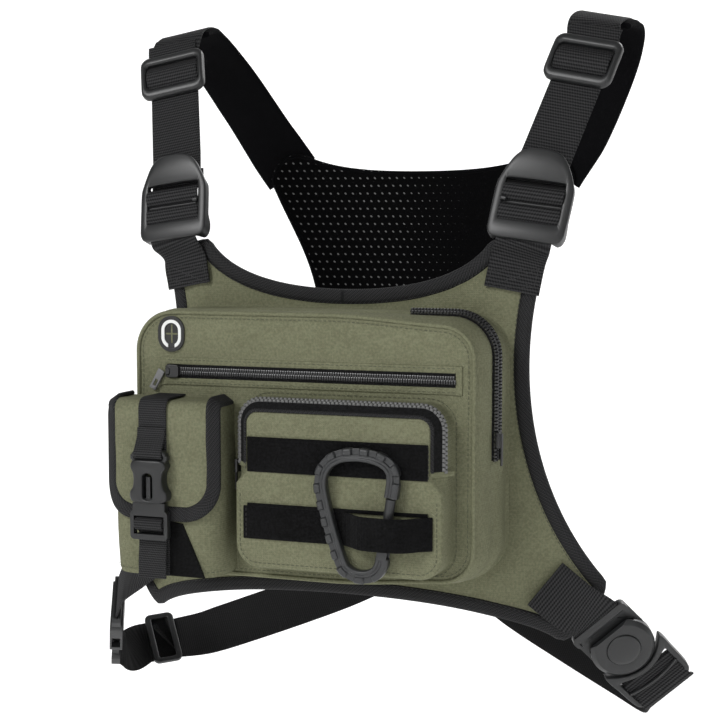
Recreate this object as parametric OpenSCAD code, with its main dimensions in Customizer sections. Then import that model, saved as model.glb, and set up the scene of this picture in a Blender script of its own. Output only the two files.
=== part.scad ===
// Chest rig vest: a padded front panel with zipped pockets, a flap pouch and a carabiner,
// adjustable shoulder straps, a perforated back panel and a waist strap with two buckles.
// Millimetres. +Z is up, -Y is forward, and the origin is the centre of the wearer's torso.

/* [Front panel] */
// Distance from the torso's centre forward to the panel's outer face
panel_y = 100; // [98:1:102]
// Thickness of the padded panel
panel_t = 5; // [4:0.5:6]
// Width of the bias binding round the panel
binding_w = 11; // [9:0.5:12]

/* [Main pocket] */
// Width of the main pocket
pocket_w = 253; // [250:1:256]
// Height of the main pocket
pocket_h = 183; // [180:1:186]
// Distance from the torso's centre forward to the pocket's face
pocket_y = 158.4; // [158:0.1:160]
// Corner radius of the main pocket
pocket_r = 28; // [24:1:30]
// Thickness of the backed pocket fabric
cloth_t = 2; // [1.6:0.1:2.2]

/* [Small pocket] */
// Width of the small pocket
small_w = 146; // [144:1:148]
// Height of the small pocket
small_h = 114; // [112:1:116]
// Depth of the small pocket
small_d = 24.6; // [24:0.1:25]

/* [Pouch] */
// Width of the side pouch
pouch_w = 82; // [80:1:83]
// Depth of the side pouch
pouch_d = 34; // [32:1:34]
// Height of the flap's front
flap_h = 76; // [74:1:78]

/* [Webbing] */
// Width of the shoulder and waist webbing
web_w = 38; // [36:1:38]
// Width of the pouch webbing and the loop straps
narrow_w = 21; // [19:1:22]
// Thickness of the webbing
web_t = 1.6; // [1.4:0.1:1.8]

/* [Carabiner] */
// Diameter of the carabiner's bar
bar_d = 8; // [7:0.5:8]

/* [Hidden] */

$fn = 48;
olive = [0.36, 0.37, 0.26];
black = [0.07, 0.07, 0.08];
web_grey = [0.12, 0.12, 0.13];
plastic = [0.16, 0.16, 0.17];
chain_grey = [0.1, 0.1, 0.1];

flat_half = 100;        // the panel is flat to this far from the centre line
wrap_r = 240;           // and curves back beyond it, by distance squared over this
gap = 0.3;              // clearance between pieces that move
pocket_x = -7.5;        // centre of the main pocket
pocket_z = -46.5;
zip_y0 = -135;          // the main zip's band, from front to back
zip_y1 = -127;
face_back = -pocket_y + cloth_t;
small_x = 25;           // centre of the small pocket
small_z = -69;
small_r = 16;
small_y = -pocket_y - small_d;
small_zip_low = -65;    // the small pocket's zip ends at this height
front_zip_x0 = -111;    // ends and middle of the zip across the main pocket
front_zip_x1 = 99.5;
front_zip_z = 3;
chain_w = 8;
port_x = -107;
port_z = 29;
pouch_x = -99;
pouch_bottom = -135;
pouch_top = -18;
pouch_r = 17;
flap_y = -166;          // the flap's fold line
flap_z = -14.75;
flap_t = 2.4;
flap_gap = 1.4;         // between the pouch and its flap
flap_out = -pocket_y - pouch_d - flap_gap - flap_t;
buckle_x = -103;
buckle_z = -66;         // middle of the pouch buckle

// ---- small vector tools ----
function unit(v) = v / norm(v);
function bez(a, b, c, d, n, from = 0) = [for (i = [from : n]) let (t = i / n)
  pow(1 - t, 3) * a + 3 * pow(1 - t, 2) * t * b + 3 * (1 - t) * t * t * c + t * t * t * d];
function catmull(a, b, c, d, t) = 0.5 * (2 * b + (c - a) * t + (2 * a - 5 * b + 4 * c - d) * t * t
  + (3 * b - a - 3 * c + d) * t * t * t);
function smooth(p, k) = let (n = len(p)) concat(
  [for (i = [0 : n - 2]) for (j = [0 : k - 1])
    catmull(p[max(i - 1, 0)], p[i], p[i + 1], p[min(i + 2, n - 1)], j / k)],
  [p[n - 1]]);
// the outline p moved inwards by d; p runs clockwise
function inset(p, d) = let (n = len(p)) [for (i = [0 : n - 1])
  let (t = unit(p[(i + 1) % n] - p[(i + n - 1) % n])) p[i] + d * [t[1], -t[0]]];

// a strap of width w and thickness t along points p, with a width direction at each point
module ribbon(p, side, w, t) {
  n = len(p);
  corners = [for (i = [0 : n - 1])
    let (along = unit(p[min(i + 1, n - 1)] - p[max(i - 1, 0)]))
    let (s = unit(side[i] - (side[i] * along) * along))
    let (up = cross(along, s))
    for (c = [[-1, -1], [1, -1], [1, 1], [-1, 1]]) p[i] + s * c[0] * w / 2 + up * c[1] * t / 2];
  walls = [for (i = [0 : n - 2]) for (k = [0 : 3]) let (a = 4 * i + k, b = 4 * i + (k + 1) % 4)
    each [[a, b, b + 4], [a, b + 4, a + 4]]];
  ends = [[3, 2, 1], [3, 1, 0], [4 * n - 4, 4 * n - 3, 4 * n - 2], [4 * n - 4, 4 * n - 2, 4 * n - 1]];
  polyhedron([for (c = corners) c], [for (f = concat(walls, ends)) [f[2], f[1], f[0]]]);
}

// a strap whose path lies in the local Y-Z plane and whose width is along local X
module bent_strip(p, w, t) {
  n = len(p);
  normals = [for (i = [0 : n - 1]) let (a = unit(p[min(i + 1, n - 1)] - p[max(i - 1, 0)]))
    [a[1], -a[0]]];
  rotate([90, 0, 90]) translate([0, 0, -w / 2]) linear_extrude(w)
    polygon(concat([for (i = [0 : n - 1]) p[i] + normals[i] * t / 2],
      [for (i = [n - 1 : -1 : 0]) p[i] - normals[i] * t / 2]));
}

// children placed at o, with local X along a and local Y as near to w as it can be
module place(o, a, w) {
  x = unit(a);
  z = unit(cross(x, w));
  y = cross(z, x);
  multmatrix([[x[0], y[0], z[0], o[0]], [x[1], y[1], z[1], o[1]], [x[2], y[2], z[2], o[2]],
    [0, 0, 0, 1]]) children();
}

module rrect(w, h, r) {
  square([w - 2 * r, h], center = true);
  square([w, h - 2 * r], center = true);
  for (sx = [-1, 1]) for (sy = [-1, 1])
    translate([sx * (w / 2 - r), sy * (h / 2 - r)]) circle(r);
}

// a drawing in the X-Z plane made solid from y0 to y1
module upright(y0, y1) rotate([90, 0, 0]) translate([0, 0, -y1]) linear_extrude(y1 - y0) children();

module mirrored() mirror([1, 0, 0]) children();

// ---- front panel ----
function wrap(x) = -panel_y + pow(max(0, abs(x) - flat_half), 2) / wrap_r;
wrap_steps = 8;
wrap_step = 12.5;
wrap_x = concat([for (i = [wrap_steps : -1 : 0]) -flat_half - i * wrap_step],
  [for (i = [0 : wrap_steps]) flat_half + i * wrap_step]);
right_half = concat(
  bez([0, 59], [56, 59], [92, 72], [106, 94], 8),
  [[143, 83]],
  bez([143, 83], [128, 30], [121, -58], [183, -142], 10, 1),
  [[184, -149], [162, -182], [154, -184]],
  bez([154, -184], [138, -168], [80, -160], [0, -160], 8, 1));
outline = concat(right_half,
  [for (i = [len(right_half) - 2 : -1 : 1]) [-right_half[i][0], right_half[i][1]]]);

// the layer of the curved panel from depth a to depth b
module layer(a, b) translate([0, 0, -200]) linear_extrude(320)
  polygon(concat([for (x = wrap_x) [x, wrap(x) + a]],
    [for (i = [len(wrap_x) - 1 : -1 : 0]) [wrap_x[i], wrap(wrap_x[i]) + b]]));

module panel_layer(a, b, edge) intersection() {
  upright(-panel_y - 10, -40) polygon(inset(outline, edge));
  layer(a, b);
}

module front_panel_shell() color(olive) panel_layer(0, 1, binding_w / 2);
module front_panel_foam() color([0.5, 0.5, 0.48]) panel_layer(1, panel_t - 1, binding_w / 2);
module front_panel_lining() color(black) panel_layer(panel_t - 1, panel_t, binding_w / 2);
module front_panel_binding() color(web_grey) intersection() {
  upright(-panel_y - 10, -40) difference() {
    polygon(outline);
    polygon(inset(outline, binding_w / 2));
  }
  layer(-0.8, panel_t + 0.8);
}

// ---- main pocket ----
module pocket_ring(y0, y1, t = cloth_t, grow = 0) translate([pocket_x, 0, pocket_z])
  upright(y0, y1) difference() {
    rrect(pocket_w + 2 * grow, pocket_h + 2 * grow, pocket_r + grow);
    rrect(pocket_w - 2 * t, pocket_h - 2 * t, pocket_r - t);
  }
module main_zip_room() translate([60, -200, -50]) cube([200, 200, 200]);
module main_pocket_front() color(olive) difference() {
  translate([pocket_x, 0, pocket_z]) upright(-pocket_y, face_back) rrect(pocket_w, pocket_h, pocket_r);
  upright(-pocket_y - 1, face_back + 1) translate([front_zip_x0, front_zip_z - chain_w / 2])
    square([front_zip_x1 - front_zip_x0, chain_w]);
  translate([port_x, 0, port_z]) upright(-pocket_y - 1, face_back + 1) rrect(14, 18, 6.9);
}
module main_pocket_piping() color(olive) difference() {
  pocket_ring(-pocket_y - 1.2, -pocket_y, 2.2, 0);
  translate([pouch_x - 50, -pocket_y - 5, pouch_bottom - gap]) cube([60, 10, flap_z + 3 - pouch_bottom]);
}
module main_gusset_front() color(olive) pocket_ring(face_back, zip_y0);
module main_gusset_rear() color(olive) difference() {
  pocket_ring(zip_y0, -panel_y + 10);
  intersection() {
    pocket_ring(zip_y0 - 1, zip_y1, cloth_t + 1, 1);
    main_zip_room();
  }
  layer(0, 30);
  intersection() {
    layer(-1.1, 30);
    translate([-200, -200, -200]) cube([85, 200, 400]);
  }
}
module main_zipper_chain() color(chain_grey) intersection() {
  pocket_ring(zip_y0, zip_y1, cloth_t, 0.6);
  main_zip_room();
}
main_zip_x = pocket_x + pocket_w / 2 + 0.6;
module main_zip_slider() color(plastic) translate([main_zip_x + gap, zip_y0, -44]) {
  cube([3, 8, 11]);
  translate([3, 2.5, -12]) cube([1.4, 3, 22]);
}

// ---- zip across the main pocket ----
module front_zip_chain() color(chain_grey) upright(-pocket_y - 0.8, face_back)
  translate([front_zip_x0, front_zip_z - chain_w / 2]) square([front_zip_x1 - front_zip_x0, chain_w]);
slider_x = front_zip_x0 + 5;
module front_zip_slider() color(plastic) {
  translate([slider_x, 0, front_zip_z]) upright(-pocket_y - 3.2, -pocket_y - 0.8 - gap) rrect(10, 9, 2);
  translate([slider_x - 3, 0, front_zip_z]) upright(-pocket_y - 4.2, -pocket_y - 3.2) rrect(3, 5, 1.4);
}
pull_len = 15;
pull_lean = 29;         // the pull hangs this far from upright
pull_y = -pocket_y - 3.2;
module front_zip_pull() color(plastic)
  translate([slider_x - 8, 0, front_zip_z + 0.5]) rotate([0, pull_lean, 0])
  upright(pull_y, pull_y + 1.4) difference() {
    translate([-2.6, -pull_len]) square([5.2, pull_len]);
    translate([0, -pull_len + 5]) square([2, 5], center = true);
  }
bag_h = 122;
module front_zip_bag() color(black) difference() {
  translate([front_zip_x0, face_back + 0.3, front_zip_z - bag_h])
    cube([front_zip_x1 - front_zip_x0, 4, bag_h + 5]);
  translate([front_zip_x0 + 1, face_back + 1.1, front_zip_z - bag_h + 1])
    cube([front_zip_x1 - front_zip_x0 - 2, 2.4, bag_h + 3]);
  translate([front_zip_x0 + 1, face_back - 1, front_zip_z - chain_w / 2])
    cube([front_zip_x1 - front_zip_x0 - 2, 3, chain_w]);
}

// ---- earphone outlet ----
module earphone_port() color(black) translate([port_x, 0, port_z]) {
  difference() {
    upright(-pocket_y - 1.8, -pocket_y) rrect(20, 25, 9.9);
    upright(-pocket_y - 3, -pocket_y - 0.6) rrect(15.5, 20, 7.6);
    upright(-pocket_y - 3, 0) square([1.2, 13], center = true);
    upright(-pocket_y - 3, 0) square([9, 1.2], center = true);
  }
  difference() {
    upright(-pocket_y, face_back + 1.5) rrect(13.8, 17.8, 6.8);
    upright(-pocket_y - 3, 0) square([1.2, 13], center = true);
    upright(-pocket_y - 3, 0) square([9, 1.2], center = true);
  }
}
module earphone_ring() color("white") translate([port_x, 0, port_z])
  upright(-pocket_y - 1.5, -pocket_y - 0.6) difference() {
    rrect(15.4, 19.9, 7.5);
    rrect(10.6, 15.2, 5.2);
    translate([0, -9]) square([5, 8], center = true);
  }

// ---- small pocket ----
module small_ring(y0, y1, t = cloth_t, grow = 0) translate([small_x, 0, small_z])
  upright(y0, y1) difference() {
    rrect(small_w + 2 * grow, small_h + 2 * grow, small_r + grow);
    rrect(small_w - 2 * t, small_h - 2 * t, small_r - t);
  }
small_zip_y0 = small_y + 5;
small_zip_y1 = small_zip_y0 + 10;
module small_zip_room() translate([-100, -300, small_zip_low]) cube([300, 300, 100]);
module small_pocket_front() color(olive) translate([small_x, 0, small_z])
  upright(small_y, small_y + cloth_t) rrect(small_w, small_h, small_r);
module small_pocket_gusset() color(olive) difference() {
  small_ring(small_y + cloth_t, -pocket_y);
  intersection() {
    small_ring(small_zip_y0, small_zip_y1, cloth_t + 1, 1);
    small_zip_room();
  }
}
module small_zip_chain() color(chain_grey) intersection() {
  union() {
    small_ring(small_zip_y0, small_zip_y1);
    difference() {
      small_ring(small_zip_y0 + 2.5, small_zip_y1 - 2.5, 1, 1.2);
      small_ring(small_zip_y0, small_zip_y1, 5, -0.5);
    }
  }
  small_zip_room();
}
small_left = small_x - small_w / 2 - 1.2;
module small_zip_slider() color(plastic)
  translate([small_left - gap - 2, small_zip_y0 + 1, small_zip_low + 2]) {
  cube([2, 8, 9]);
  translate([-1, 3, -12]) cube([1, 3, 18]);
}
strap_half = small_w / 2 - 1;
module loop_strap_upper() color(black) translate([small_x, 0, -49.5])
  upright(small_y - web_t, small_y) square([2 * strap_half, narrow_w], center = true);

// ---- carabiner: it hangs from the lower loop strap by the leg that holds the gate ----
cara_y = small_y - web_t - 1.2 - bar_d / 2;
leg_top = [67, -62];
leg_low = [59, -116];
leg_lean = atan2(leg_top[0] - leg_low[0], leg_top[1] - leg_low[1]);
gate_pivot = 10;        // distance up the leg from its low end
gate_len = 34;
slack = 5;              // free play of the strap in front of the leg
lower_z = -95;
bump_x0 = 50;
bump_x1 = 80;
bump_y = cara_y - bar_d / 2 - slack - web_t / 2;
strap_flat = small_y - web_t / 2;
module loop_strap_lower() color(black) translate([0, 0, lower_z])
  translate([0, 0, -(narrow_w + 1) / 2]) linear_extrude(narrow_w + 1) {
    path = concat([[small_x - strap_half, strap_flat], [bump_x0 - 14, strap_flat]],
      bez([bump_x0 - 14, strap_flat], [bump_x0 - 4, strap_flat],
        [bump_x0 - 8, bump_y], [bump_x0 + 6, bump_y], 6, 1),
      bez([bump_x1 - 6, bump_y], [bump_x1 + 6, bump_y],
        [bump_x1 + 1, strap_flat], [bump_x1 + 9, strap_flat], 6),
      [[small_x + strap_half, strap_flat]]);
    n = len(path);
    normals = [for (i = [0 : n - 1]) let (a = unit(path[min(i + 1, n - 1)] - path[max(i - 1, 0)]))
      [a[1], -a[0]] * web_t / 2];
    polygon(concat([for (i = [0 : n - 1]) path[i] + normals[i]],
      [for (i = [n - 1 : -1 : 0]) path[i] - normals[i]]));
  }
// the ring's centre line in X-Z: round at the top, slanting down to a tight foot
cara_line = concat([leg_top],
  bez(leg_top, [70, -46], [50, -44.5], [42, -44.5], 6, 1),
  bez([42, -44.5], [26, -44.5], [15, -52], [17, -68], 6, 1),
  bez([17, -68], [20, -84], [26, -104], [32, -118], 4, 1),
  bez([32, -118], [37, -127], [55, -128], leg_low, 6, 1));
// a round bar of diameter d along points of the X-Z plane
module round_bar(p, d, sides = 14) {
  n = len(p);
  rings = [for (i = [0 : n - 1]) let (a = unit(p[min(i + 1, n - 1)] - p[max(i - 1, 0)]))
    for (k = [0 : sides - 1]) let (c = cos(360 * k / sides) * d / 2, s = sin(360 * k / sides) * d / 2)
      [p[i][0] + c * a[1], s, p[i][1] - c * a[0]]];
  walls = [for (i = [0 : n - 2]) for (k = [0 : sides - 1])
    let (u = sides * i + k, v = sides * i + (k + 1) % sides)
    each [[u, v, v + sides], [u, v + sides, u + sides]]];
  polyhedron(rings, concat([[for (k = [sides - 1 : -1 : 0]) k]], walls,
    [[for (k = [0 : sides - 1]) (n - 1) * sides + k]]));
}
module carabiner_body() color(plastic) translate([0, cara_y, 0]) difference() {
  round_bar(concat([leg_at(gate_pivot + gate_len + 0.8), leg_at(50)], cara_line,
    [leg_at(4), leg_at(gate_pivot + 2.4)]), bar_d);
  translate([leg_at(gate_pivot)[0], 0, leg_at(gate_pivot)[1]]) rotate([0, leg_lean, 0])
    translate([-9, -2.2, -6]) cube([18, 4.4, 14]);
  pin_hole(3);
}
function leg_at(s) = leg_low + s * unit(leg_top - leg_low);
module pin_hole(d) translate([leg_at(gate_pivot)[0], 0, leg_at(gate_pivot)[1]]) rotate([90, 0, 0])
  cylinder(h = bar_d + 2, d = d, center = true);
module carabiner_pin() color("silver") translate([0, cara_y, 0])
  translate([leg_at(gate_pivot)[0], 0, leg_at(gate_pivot)[1]]) rotate([90, 0, 0])
    cylinder(h = bar_d - 1, d = 2.6, center = true);
module carabiner_gate() color(plastic) translate([0, cara_y, 0]) difference() {
  union() {
    translate([leg_at(gate_pivot)[0], 0, leg_at(gate_pivot)[1]]) rotate([0, leg_lean, 0]) {
      rotate([90, 0, 0]) cylinder(h = 3.6, d = 6, center = true);
      translate([-2.2, -1.8, 0]) cube([4.4, 3.6, 6]);
      translate([0, 0, 4.5]) cylinder(h = gate_len - 4.5, d = 6.6);
    }
  }
  pin_hole(3);
}

// ---- side pouch ----
module pouch_plan(g, back = 0) intersection() {
  translate([pouch_x, -pocket_y]) rrect(pouch_w + 2 * g, 2 * (pouch_d + g), pouch_r + g);
  translate([pouch_x - 100, -pocket_y - 100 - back]) square([200, 100]);
}
module pouch_body() color(olive) translate([0, 0, pouch_bottom]) difference() {
  linear_extrude(pouch_top - pouch_bottom) pouch_plan(0);
  translate([0, 0, cloth_t]) linear_extrude(200) pouch_plan(-cloth_t, cloth_t);
}
module pouch_flap_hem() color(olive) translate([pouch_x - pouch_w / 2 - 1, -pocket_y - 6, flap_z - 1])
  cube([pouch_w + 2, 6, 2]);
flap_half = pouch_w / 2 + 1.5;
// the front of the flap, round at its lower corners, as far in as edge
module flap_outline(edge) {
  h = flap_h - edge;
  w = 2 * (flap_half - edge);
  r = 26 - edge;
  translate([pouch_x - w / 2, flap_z - 10]) square([w, 10 + flap_t / 2]);
  translate([pouch_x, flap_z + flap_t / 2 - h / 2]) rrect(w, h, r);
}
module flap_solid(edge) {
  difference() {
    translate([0, 0, flap_z - flap_h]) linear_extrude(flap_h - flap_t / 2 + 0.5)
      intersection() {
        pouch_plan(flap_gap + flap_t);
        translate([pouch_x - 200, flap_out - 1]) square([400, 14]);
      }
    translate([0, 0, -200]) linear_extrude(300) pouch_plan(flap_gap);
    difference() {
      translate([pouch_x - 100, -260, -200]) cube([200, 260, 300]);
      upright(-270, 0) flap_outline(edge);
    }
  }
  translate([0, 0, flap_z - flap_t / 2]) linear_extrude(flap_t) intersection() {
    pouch_plan(flap_gap + flap_t);
    translate([pouch_x - flap_half + edge, flap_out - 1]) square([2 * (flap_half - edge), 80]);
    translate([pouch_x - 200, -300]) square([400, 300 + flap_y]);
  }
}
module pouch_flap() color(olive) flap_solid(9);
module pouch_flap_binding() color(web_grey) difference() {
  flap_solid(0);
  flap_solid_cut();
}
// the space of the flap inside its binding
module flap_solid_cut() {
  upright(-270, flap_y + 5) flap_outline(9);
  translate([pouch_x - flap_half + 9, -270, flap_z - 5]) cube([2 * (flap_half - 9), 270, 20]);
}
flap_top = flap_z + flap_t / 2;
// side-release buckle, middle at buckle_z, lying in front of the flap
buckle_y = flap_out - 5.6;
module flap_web() color(web_grey) translate([buckle_x, 0, 0])
  bent_strip([[flap_y - 2, flap_top + 0.9], [flap_out + 8, flap_top + 0.9],
    [flap_out + 2.4, flap_top + 1.1], [flap_out + 0.4, flap_top + 1.3], [flap_out - 1.3, flap_top - 0.1],
    [flap_out - 1.1, flap_top - 3], [flap_out - 1, flap_top - 9], [flap_out - 1, buckle_z + 15.4],
    [flap_out - 2.6, buckle_z + 13.3], [flap_out - 5.6, buckle_z + 13.1], [flap_out - 8, buckle_z + 14.4],
    [flap_out - 8.6, buckle_z + 17], [flap_out - 7.6, buckle_z + 20.4], [flap_out - 4.4, buckle_z + 25]],
    narrow_w, web_t - 0.2);
module pouch_buckle_female() color(plastic) translate([buckle_x, buckle_y, buckle_z]) {
  difference() {
    union() {
      upright(-5, 4.6) translate([0, -2]) rrect(27.4, 28, 4);
      for (s = [-1, 1]) translate([s * 12.4 - 1.3, -2.4, 8]) cube([2.6, 4.8, 10.5]);
    }
    translate([-10.7, -3, -17]) cube([21.4, 5.6, 24]);
    translate([-20, -3.4, -8]) cube([40, 6.4, 12]);
    upright(-6, 0) translate([0, -8]) rrect(6, 17, 2.9);
  }
  translate([0, 0, 17]) rotate([0, 90, 0]) cylinder(h = 25, d = 3, center = true);
}
module pouch_buckle_male() color(plastic) translate([buckle_x, buckle_y, buckle_z]) {
  difference() {
    union() {
      translate([-12, -2.6, -24]) cube([24, 5, 7.4]);
      translate([-9.8, -2.6, -17]) cube([19.6, 5, 3.4]);
      for (s = [-1, 1]) {
        translate([s * 8 - 1.7, -2.6, -16]) cube([3.4, 5, 14]);
        translate([s * 8 - 2.3, -2.6, -6]) cube([4.6, 5, 9]);
      }
      translate([-1.5, -2.6, -16]) cube([3, 5, 17]);
      upright(-2.6, 2.4) translate([0, -32]) rrect(28, 20, 3);
    }
    upright(-6, 6) translate([0, -27.8]) square([22.6, 4], center = true);
    upright(-6, 6) translate([0, -35.6]) square([22.6, 5.4], center = true);
  }
}
// webbing threaded round the male half's bar, with its tail hanging free
module buckle_tail() color(web_grey) translate([buckle_x, buckle_y, buckle_z])
  bent_strip([[3.8, -23.6], [3.4, -26.3], [-2.6, -28.3], [-3.9, -29.8], [-3.9, -32.8], [-2.6, -34.3],
    [2.6, -36.4], [3.8, -39.5], [3.8, -44], [2.6, -53], [2.4, -70]], narrow_w, web_t - 0.2);
// webbing sewn to the pouch's foot, rising behind the buckle
pouch_front = -pocket_y - pouch_d;
module pouch_web() color(web_grey) translate([buckle_x, 0, 0])
  bent_strip([[pouch_front - 0.9, pouch_bottom + 1], [pouch_front - 0.9, pouch_bottom + 20],
    [pouch_front - 1.6, flap_z - flap_h - 4]], narrow_w, web_t);
module pouch_side_patch() color(black) translate([pouch_x + 8, 0, 0])
  upright(-pocket_y - pouch_d - 0.9, -pocket_y - pouch_d)
    polygon([[0, -135], [24, -135], [9, -98], [0, -98]]);

// ---- shoulder straps, drawn for the right side ----
pivot = [131.5, -100.6, 98];
lock_up = unit([9.3, 24, 67]);
lock_side = unit([0.99, 0.03, -0.13]);
module at_lock() place(pivot, lock_side, cross(lock_up, lock_side)) children();
module ladder_lock() color(plastic) at_lock() {
  difference() {
    union() {
      upright(-8.5, -1.5) difference() {
        union() {
          translate([0, 15]) rrect(53, 40, 8);
          hull() {
            translate([0, 33]) square([51, 6], center = true);
            for (s = [-1, 1]) translate([s * 9, 50]) circle(r = 10);
          }
        }
        translate([0, 22.5]) square([41, 30], center = true);
        translate([-20.5, -20]) square([41, 25]);
      }
      upright(-8.5, -6.2) translate([0, 0.5]) rrect(43, 13, 2);
      for (s = [-1, 1]) translate([s * 23.5 - 3, -8.5, -2.4]) cube([6, 10.7, 11]);
      rotate([0, 90, 0]) cylinder(h = 44, d = 4, center = true);
      translate([0, -4.5, 27]) rotate([0, 90, 0]) cylinder(h = 44, d = 5, center = true);
    }
    translate([-40, -5.2, 36]) cube([80, 20, 40]);
  }
}
module lock_web() color(web_grey) at_lock()
  bent_strip(smooth([[-1.2, 49], [-1.6, 40], [-4.2, 33.4], [-8.2, 31.8], [-9.1, 27], [-8.2, 22.2],
    [-4.2, 20.6], [-1.6, 14], [-1.2, 8.4]], 2), web_w, web_t);
patch_side = unit([0.983, 0.18, 0]);
function at_lock_point(y, z) = pivot + y * lock_y + z * lock_up;
lock_y = cross(lock_up, lock_side);
module shoulder_anchor() color(web_grey) {
  loop_r = 2 + gap + 0.3 + web_t / 2;
  path = concat([[121.5, -100.9, 64], [124, -100.3, 74], [126.4, -99.6, 84]],
    [at_lock_point(-2.3, -7)],
    [for (a = [200 : -30 : -10]) at_lock_point(loop_r * cos(a), loop_r * sin(a))]);
  ribbon(path, [for (i = [0 : len(path) - 1]) i < 3 ? patch_side : lock_side], web_w - 1, web_t);
}

// the strap's line from the lock over the shoulder
web_start = at_lock_point(-1.2, 51.2);
glide_at = [158.5, -47.5, 217];
glide_up = unit([21, 37, 75]);
strap_side = unit([0.97, -0.14, -0.2]);
pad_line = [[164, -22, 246], [165.4, -12, 250], [166.6, 2, 251], [166, 20, 246], [158, 41, 228],
  [144, 58, 200], [129, 69, 172], [114, 74.6, 150]];
pad_t = 3.6;
web_over_pad = pad_t / 2 + web_t / 2 + 0.4;
shoulder_line = concat([web_start, web_start + 14 * lock_up, glide_at - 38 * glide_up,
    glide_at - 20 * glide_up, glide_at, glide_at + 22 * glide_up],
  [for (i = [0 : 2]) let (a = unit(pad_line[i + 1] - pad_line[max(i - 1, 0)]))
    pad_line[i] + web_over_pad * unit(cross(strap_side, a))]);
shoulder_sides = [lock_side, lock_side, for (i = [1 : 7]) strap_side];
module shoulder_web() color(web_grey)
  ribbon(smooth(shoulder_line, 4), smooth(shoulder_sides, 4), web_w, web_t);
pad_end_side = [0.86, -0.25, 0.42];
pad_sides = [for (i = [0 : 7]) let (t = max(0, i - 2) / 5) (1 - t) * strap_side + t * pad_end_side];
module shoulder_pad() color(black) ribbon(smooth(pad_line, 3), smooth(pad_sides, 3), 46, pad_t);
module tri_glide() color(plastic) place(glide_at, strap_side, cross(glide_up, strap_side)) {
  upright(-7.4, -2) difference() {
    rrect(50, 37, 7);
    rrect(41, 22, 2);
  }
  upright(-4.8, -2) square([43, 8], center = true);
}
module glide_web() color(web_grey) place(glide_at, strap_side, cross(glide_up, strap_side))
  bent_strip(smooth([[-2.7, -9.6], [-3.8, -7], [-5.9, -3], [-6.2, 0], [-5.9, 3], [-3.8, 7], [-2.7, 9.6]], 2),
    web_w, 1.2);

// ---- back panel ----
function back_y(x) = 84 - x * x / 1100;
back_t = 4;
back_steps = 14;
back_half = 154;
back_x = [for (i = [0 : back_steps]) -back_half + i * 2 * back_half / back_steps];
back_right = concat(
  bez([0, 147], [46, 147], [76, 150], [98, 160], 6),
  [[110, 162], [125, 150], [127, 140]],
  bez([124, 130], [112, 100], [96, 84], [88, 40], 5),
  bez([88, 40], [78, -20], [44, -60], [40, -130], 6, 1),
  [[37, -176], [30, -182], [0, -182]]);
module back_panel() color(black) intersection() {
  upright(0, 100) polygon(concat(back_right,
    [for (i = [len(back_right) - 2 : -1 : 1]) [-back_right[i][0], back_right[i][1]]]));
  translate([0, 0, -200]) linear_extrude(400) polygon(concat([for (x = back_x) [x, back_y(x) - back_t]],
    [for (i = [back_steps : -1 : 0]) [back_x[i], back_y(back_x[i])]]));
}

// ---- waist ----
base_at = [193.5, -62, -190];
base_along = unit([39, 39, -51]);
base_side = unit([0.738, 0.127, 0.663]);
module at_base() place(base_at, base_along, base_side) children();
base_n = cross(base_along, base_side);
function base_point(x, z) = base_at + x * base_along + z * base_n;
module waist_anchor_right() color(web_grey) {
  path = [[146, -95.4, -142], [158, -90.9, -153], [170, -84, -164],
    base_point(-33, 0.2), base_point(-24, 0.2)];
  panel_side = unit([0.6, 0.3, 0.7]);
  sides = [panel_side, panel_side, panel_side, base_side, base_side];
  ribbon(smooth(path, 3), smooth(sides, 3), web_w, web_t);
}
module waist_base_right() color(plastic) at_base() {
  difference() {
    union() {
      translate([0, 0, -4]) linear_extrude(2) union() {
        circle(r = 23);
        translate([-14, 0]) rrect(34, 46, 8);
      }
      translate([0, 0, -2]) linear_extrude(4.4) difference() {
        circle(r = 23);
        translate([-12, -11]) square([60, 22]);
      }
      translate([0, 0, 2.4]) cylinder(h = 2.6, r1 = 23, r2 = 20);
      translate([-25, 0, -4]) linear_extrude(6) rrect(10, 46, 4);
    }
    translate([-24.5, -20, -1.2]) cube([8, 40, 20]);
    translate([-27, -20, -1.2]) cube([10, 40, 2.8]);
    translate([-40, -19.6, -1.2]) cube([30, 39.2, 2.8]);
    translate([0, 0, 1.4]) cylinder(h = 10, r = 12.4);
  }
}
module waist_button_right() color(plastic) at_base() {
  translate([0, 0, 3.4]) cylinder(h = 2.4, r = 12);
  translate([0, 0, 5.8]) cylinder(h = 0.8, r1 = 12, r2 = 9);
}
module waist_tongue_right() color(plastic) at_base() {
  translate([-10, -10.4, -1.6]) cube([36, 20.8, 2.6]);
  difference() {
    translate([38, 0, -4]) linear_extrude(7) rrect(27, 48, 7);
    translate([0, 0, -10]) cylinder(h = 20, r = 25.4);
    translate([35.4, 0, 0]) cube([5, 40, 30], center = true);
    translate([45, 0, 0]) cube([5, 40, 30], center = true);
    translate([38, -20, 0.2]) cube([5, 40, 10]);
  }
}
left_at = [-220, -36, -212];
left_along = unit([-29, 50, -62]);
left_n = unit([-0.89, -0.44, 0.06]);
left_side = cross(left_n, left_along);
module at_left() place(left_at, left_along, left_side) children();
function left_point(x, z) = left_at + x * left_along + z * left_n;
module waist_anchor_left() color(web_grey) {
  path = [[-150, -96.2, -136], [-164, -89.6, -145], [-180, -80.5, -157], [-196, -67, -172],
    left_point(-29, 0), left_point(-25, 0)];
  end_side = left_side * sign(left_side[2]);
  ribbon(smooth(path, 3), smooth([[-0.62, 0.1, 0.78], [-0.5, 0.1, 0.8], [-0.3, 0.2, 0.9],
    end_side, end_side, end_side], 3), web_w, web_t);
}
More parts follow.
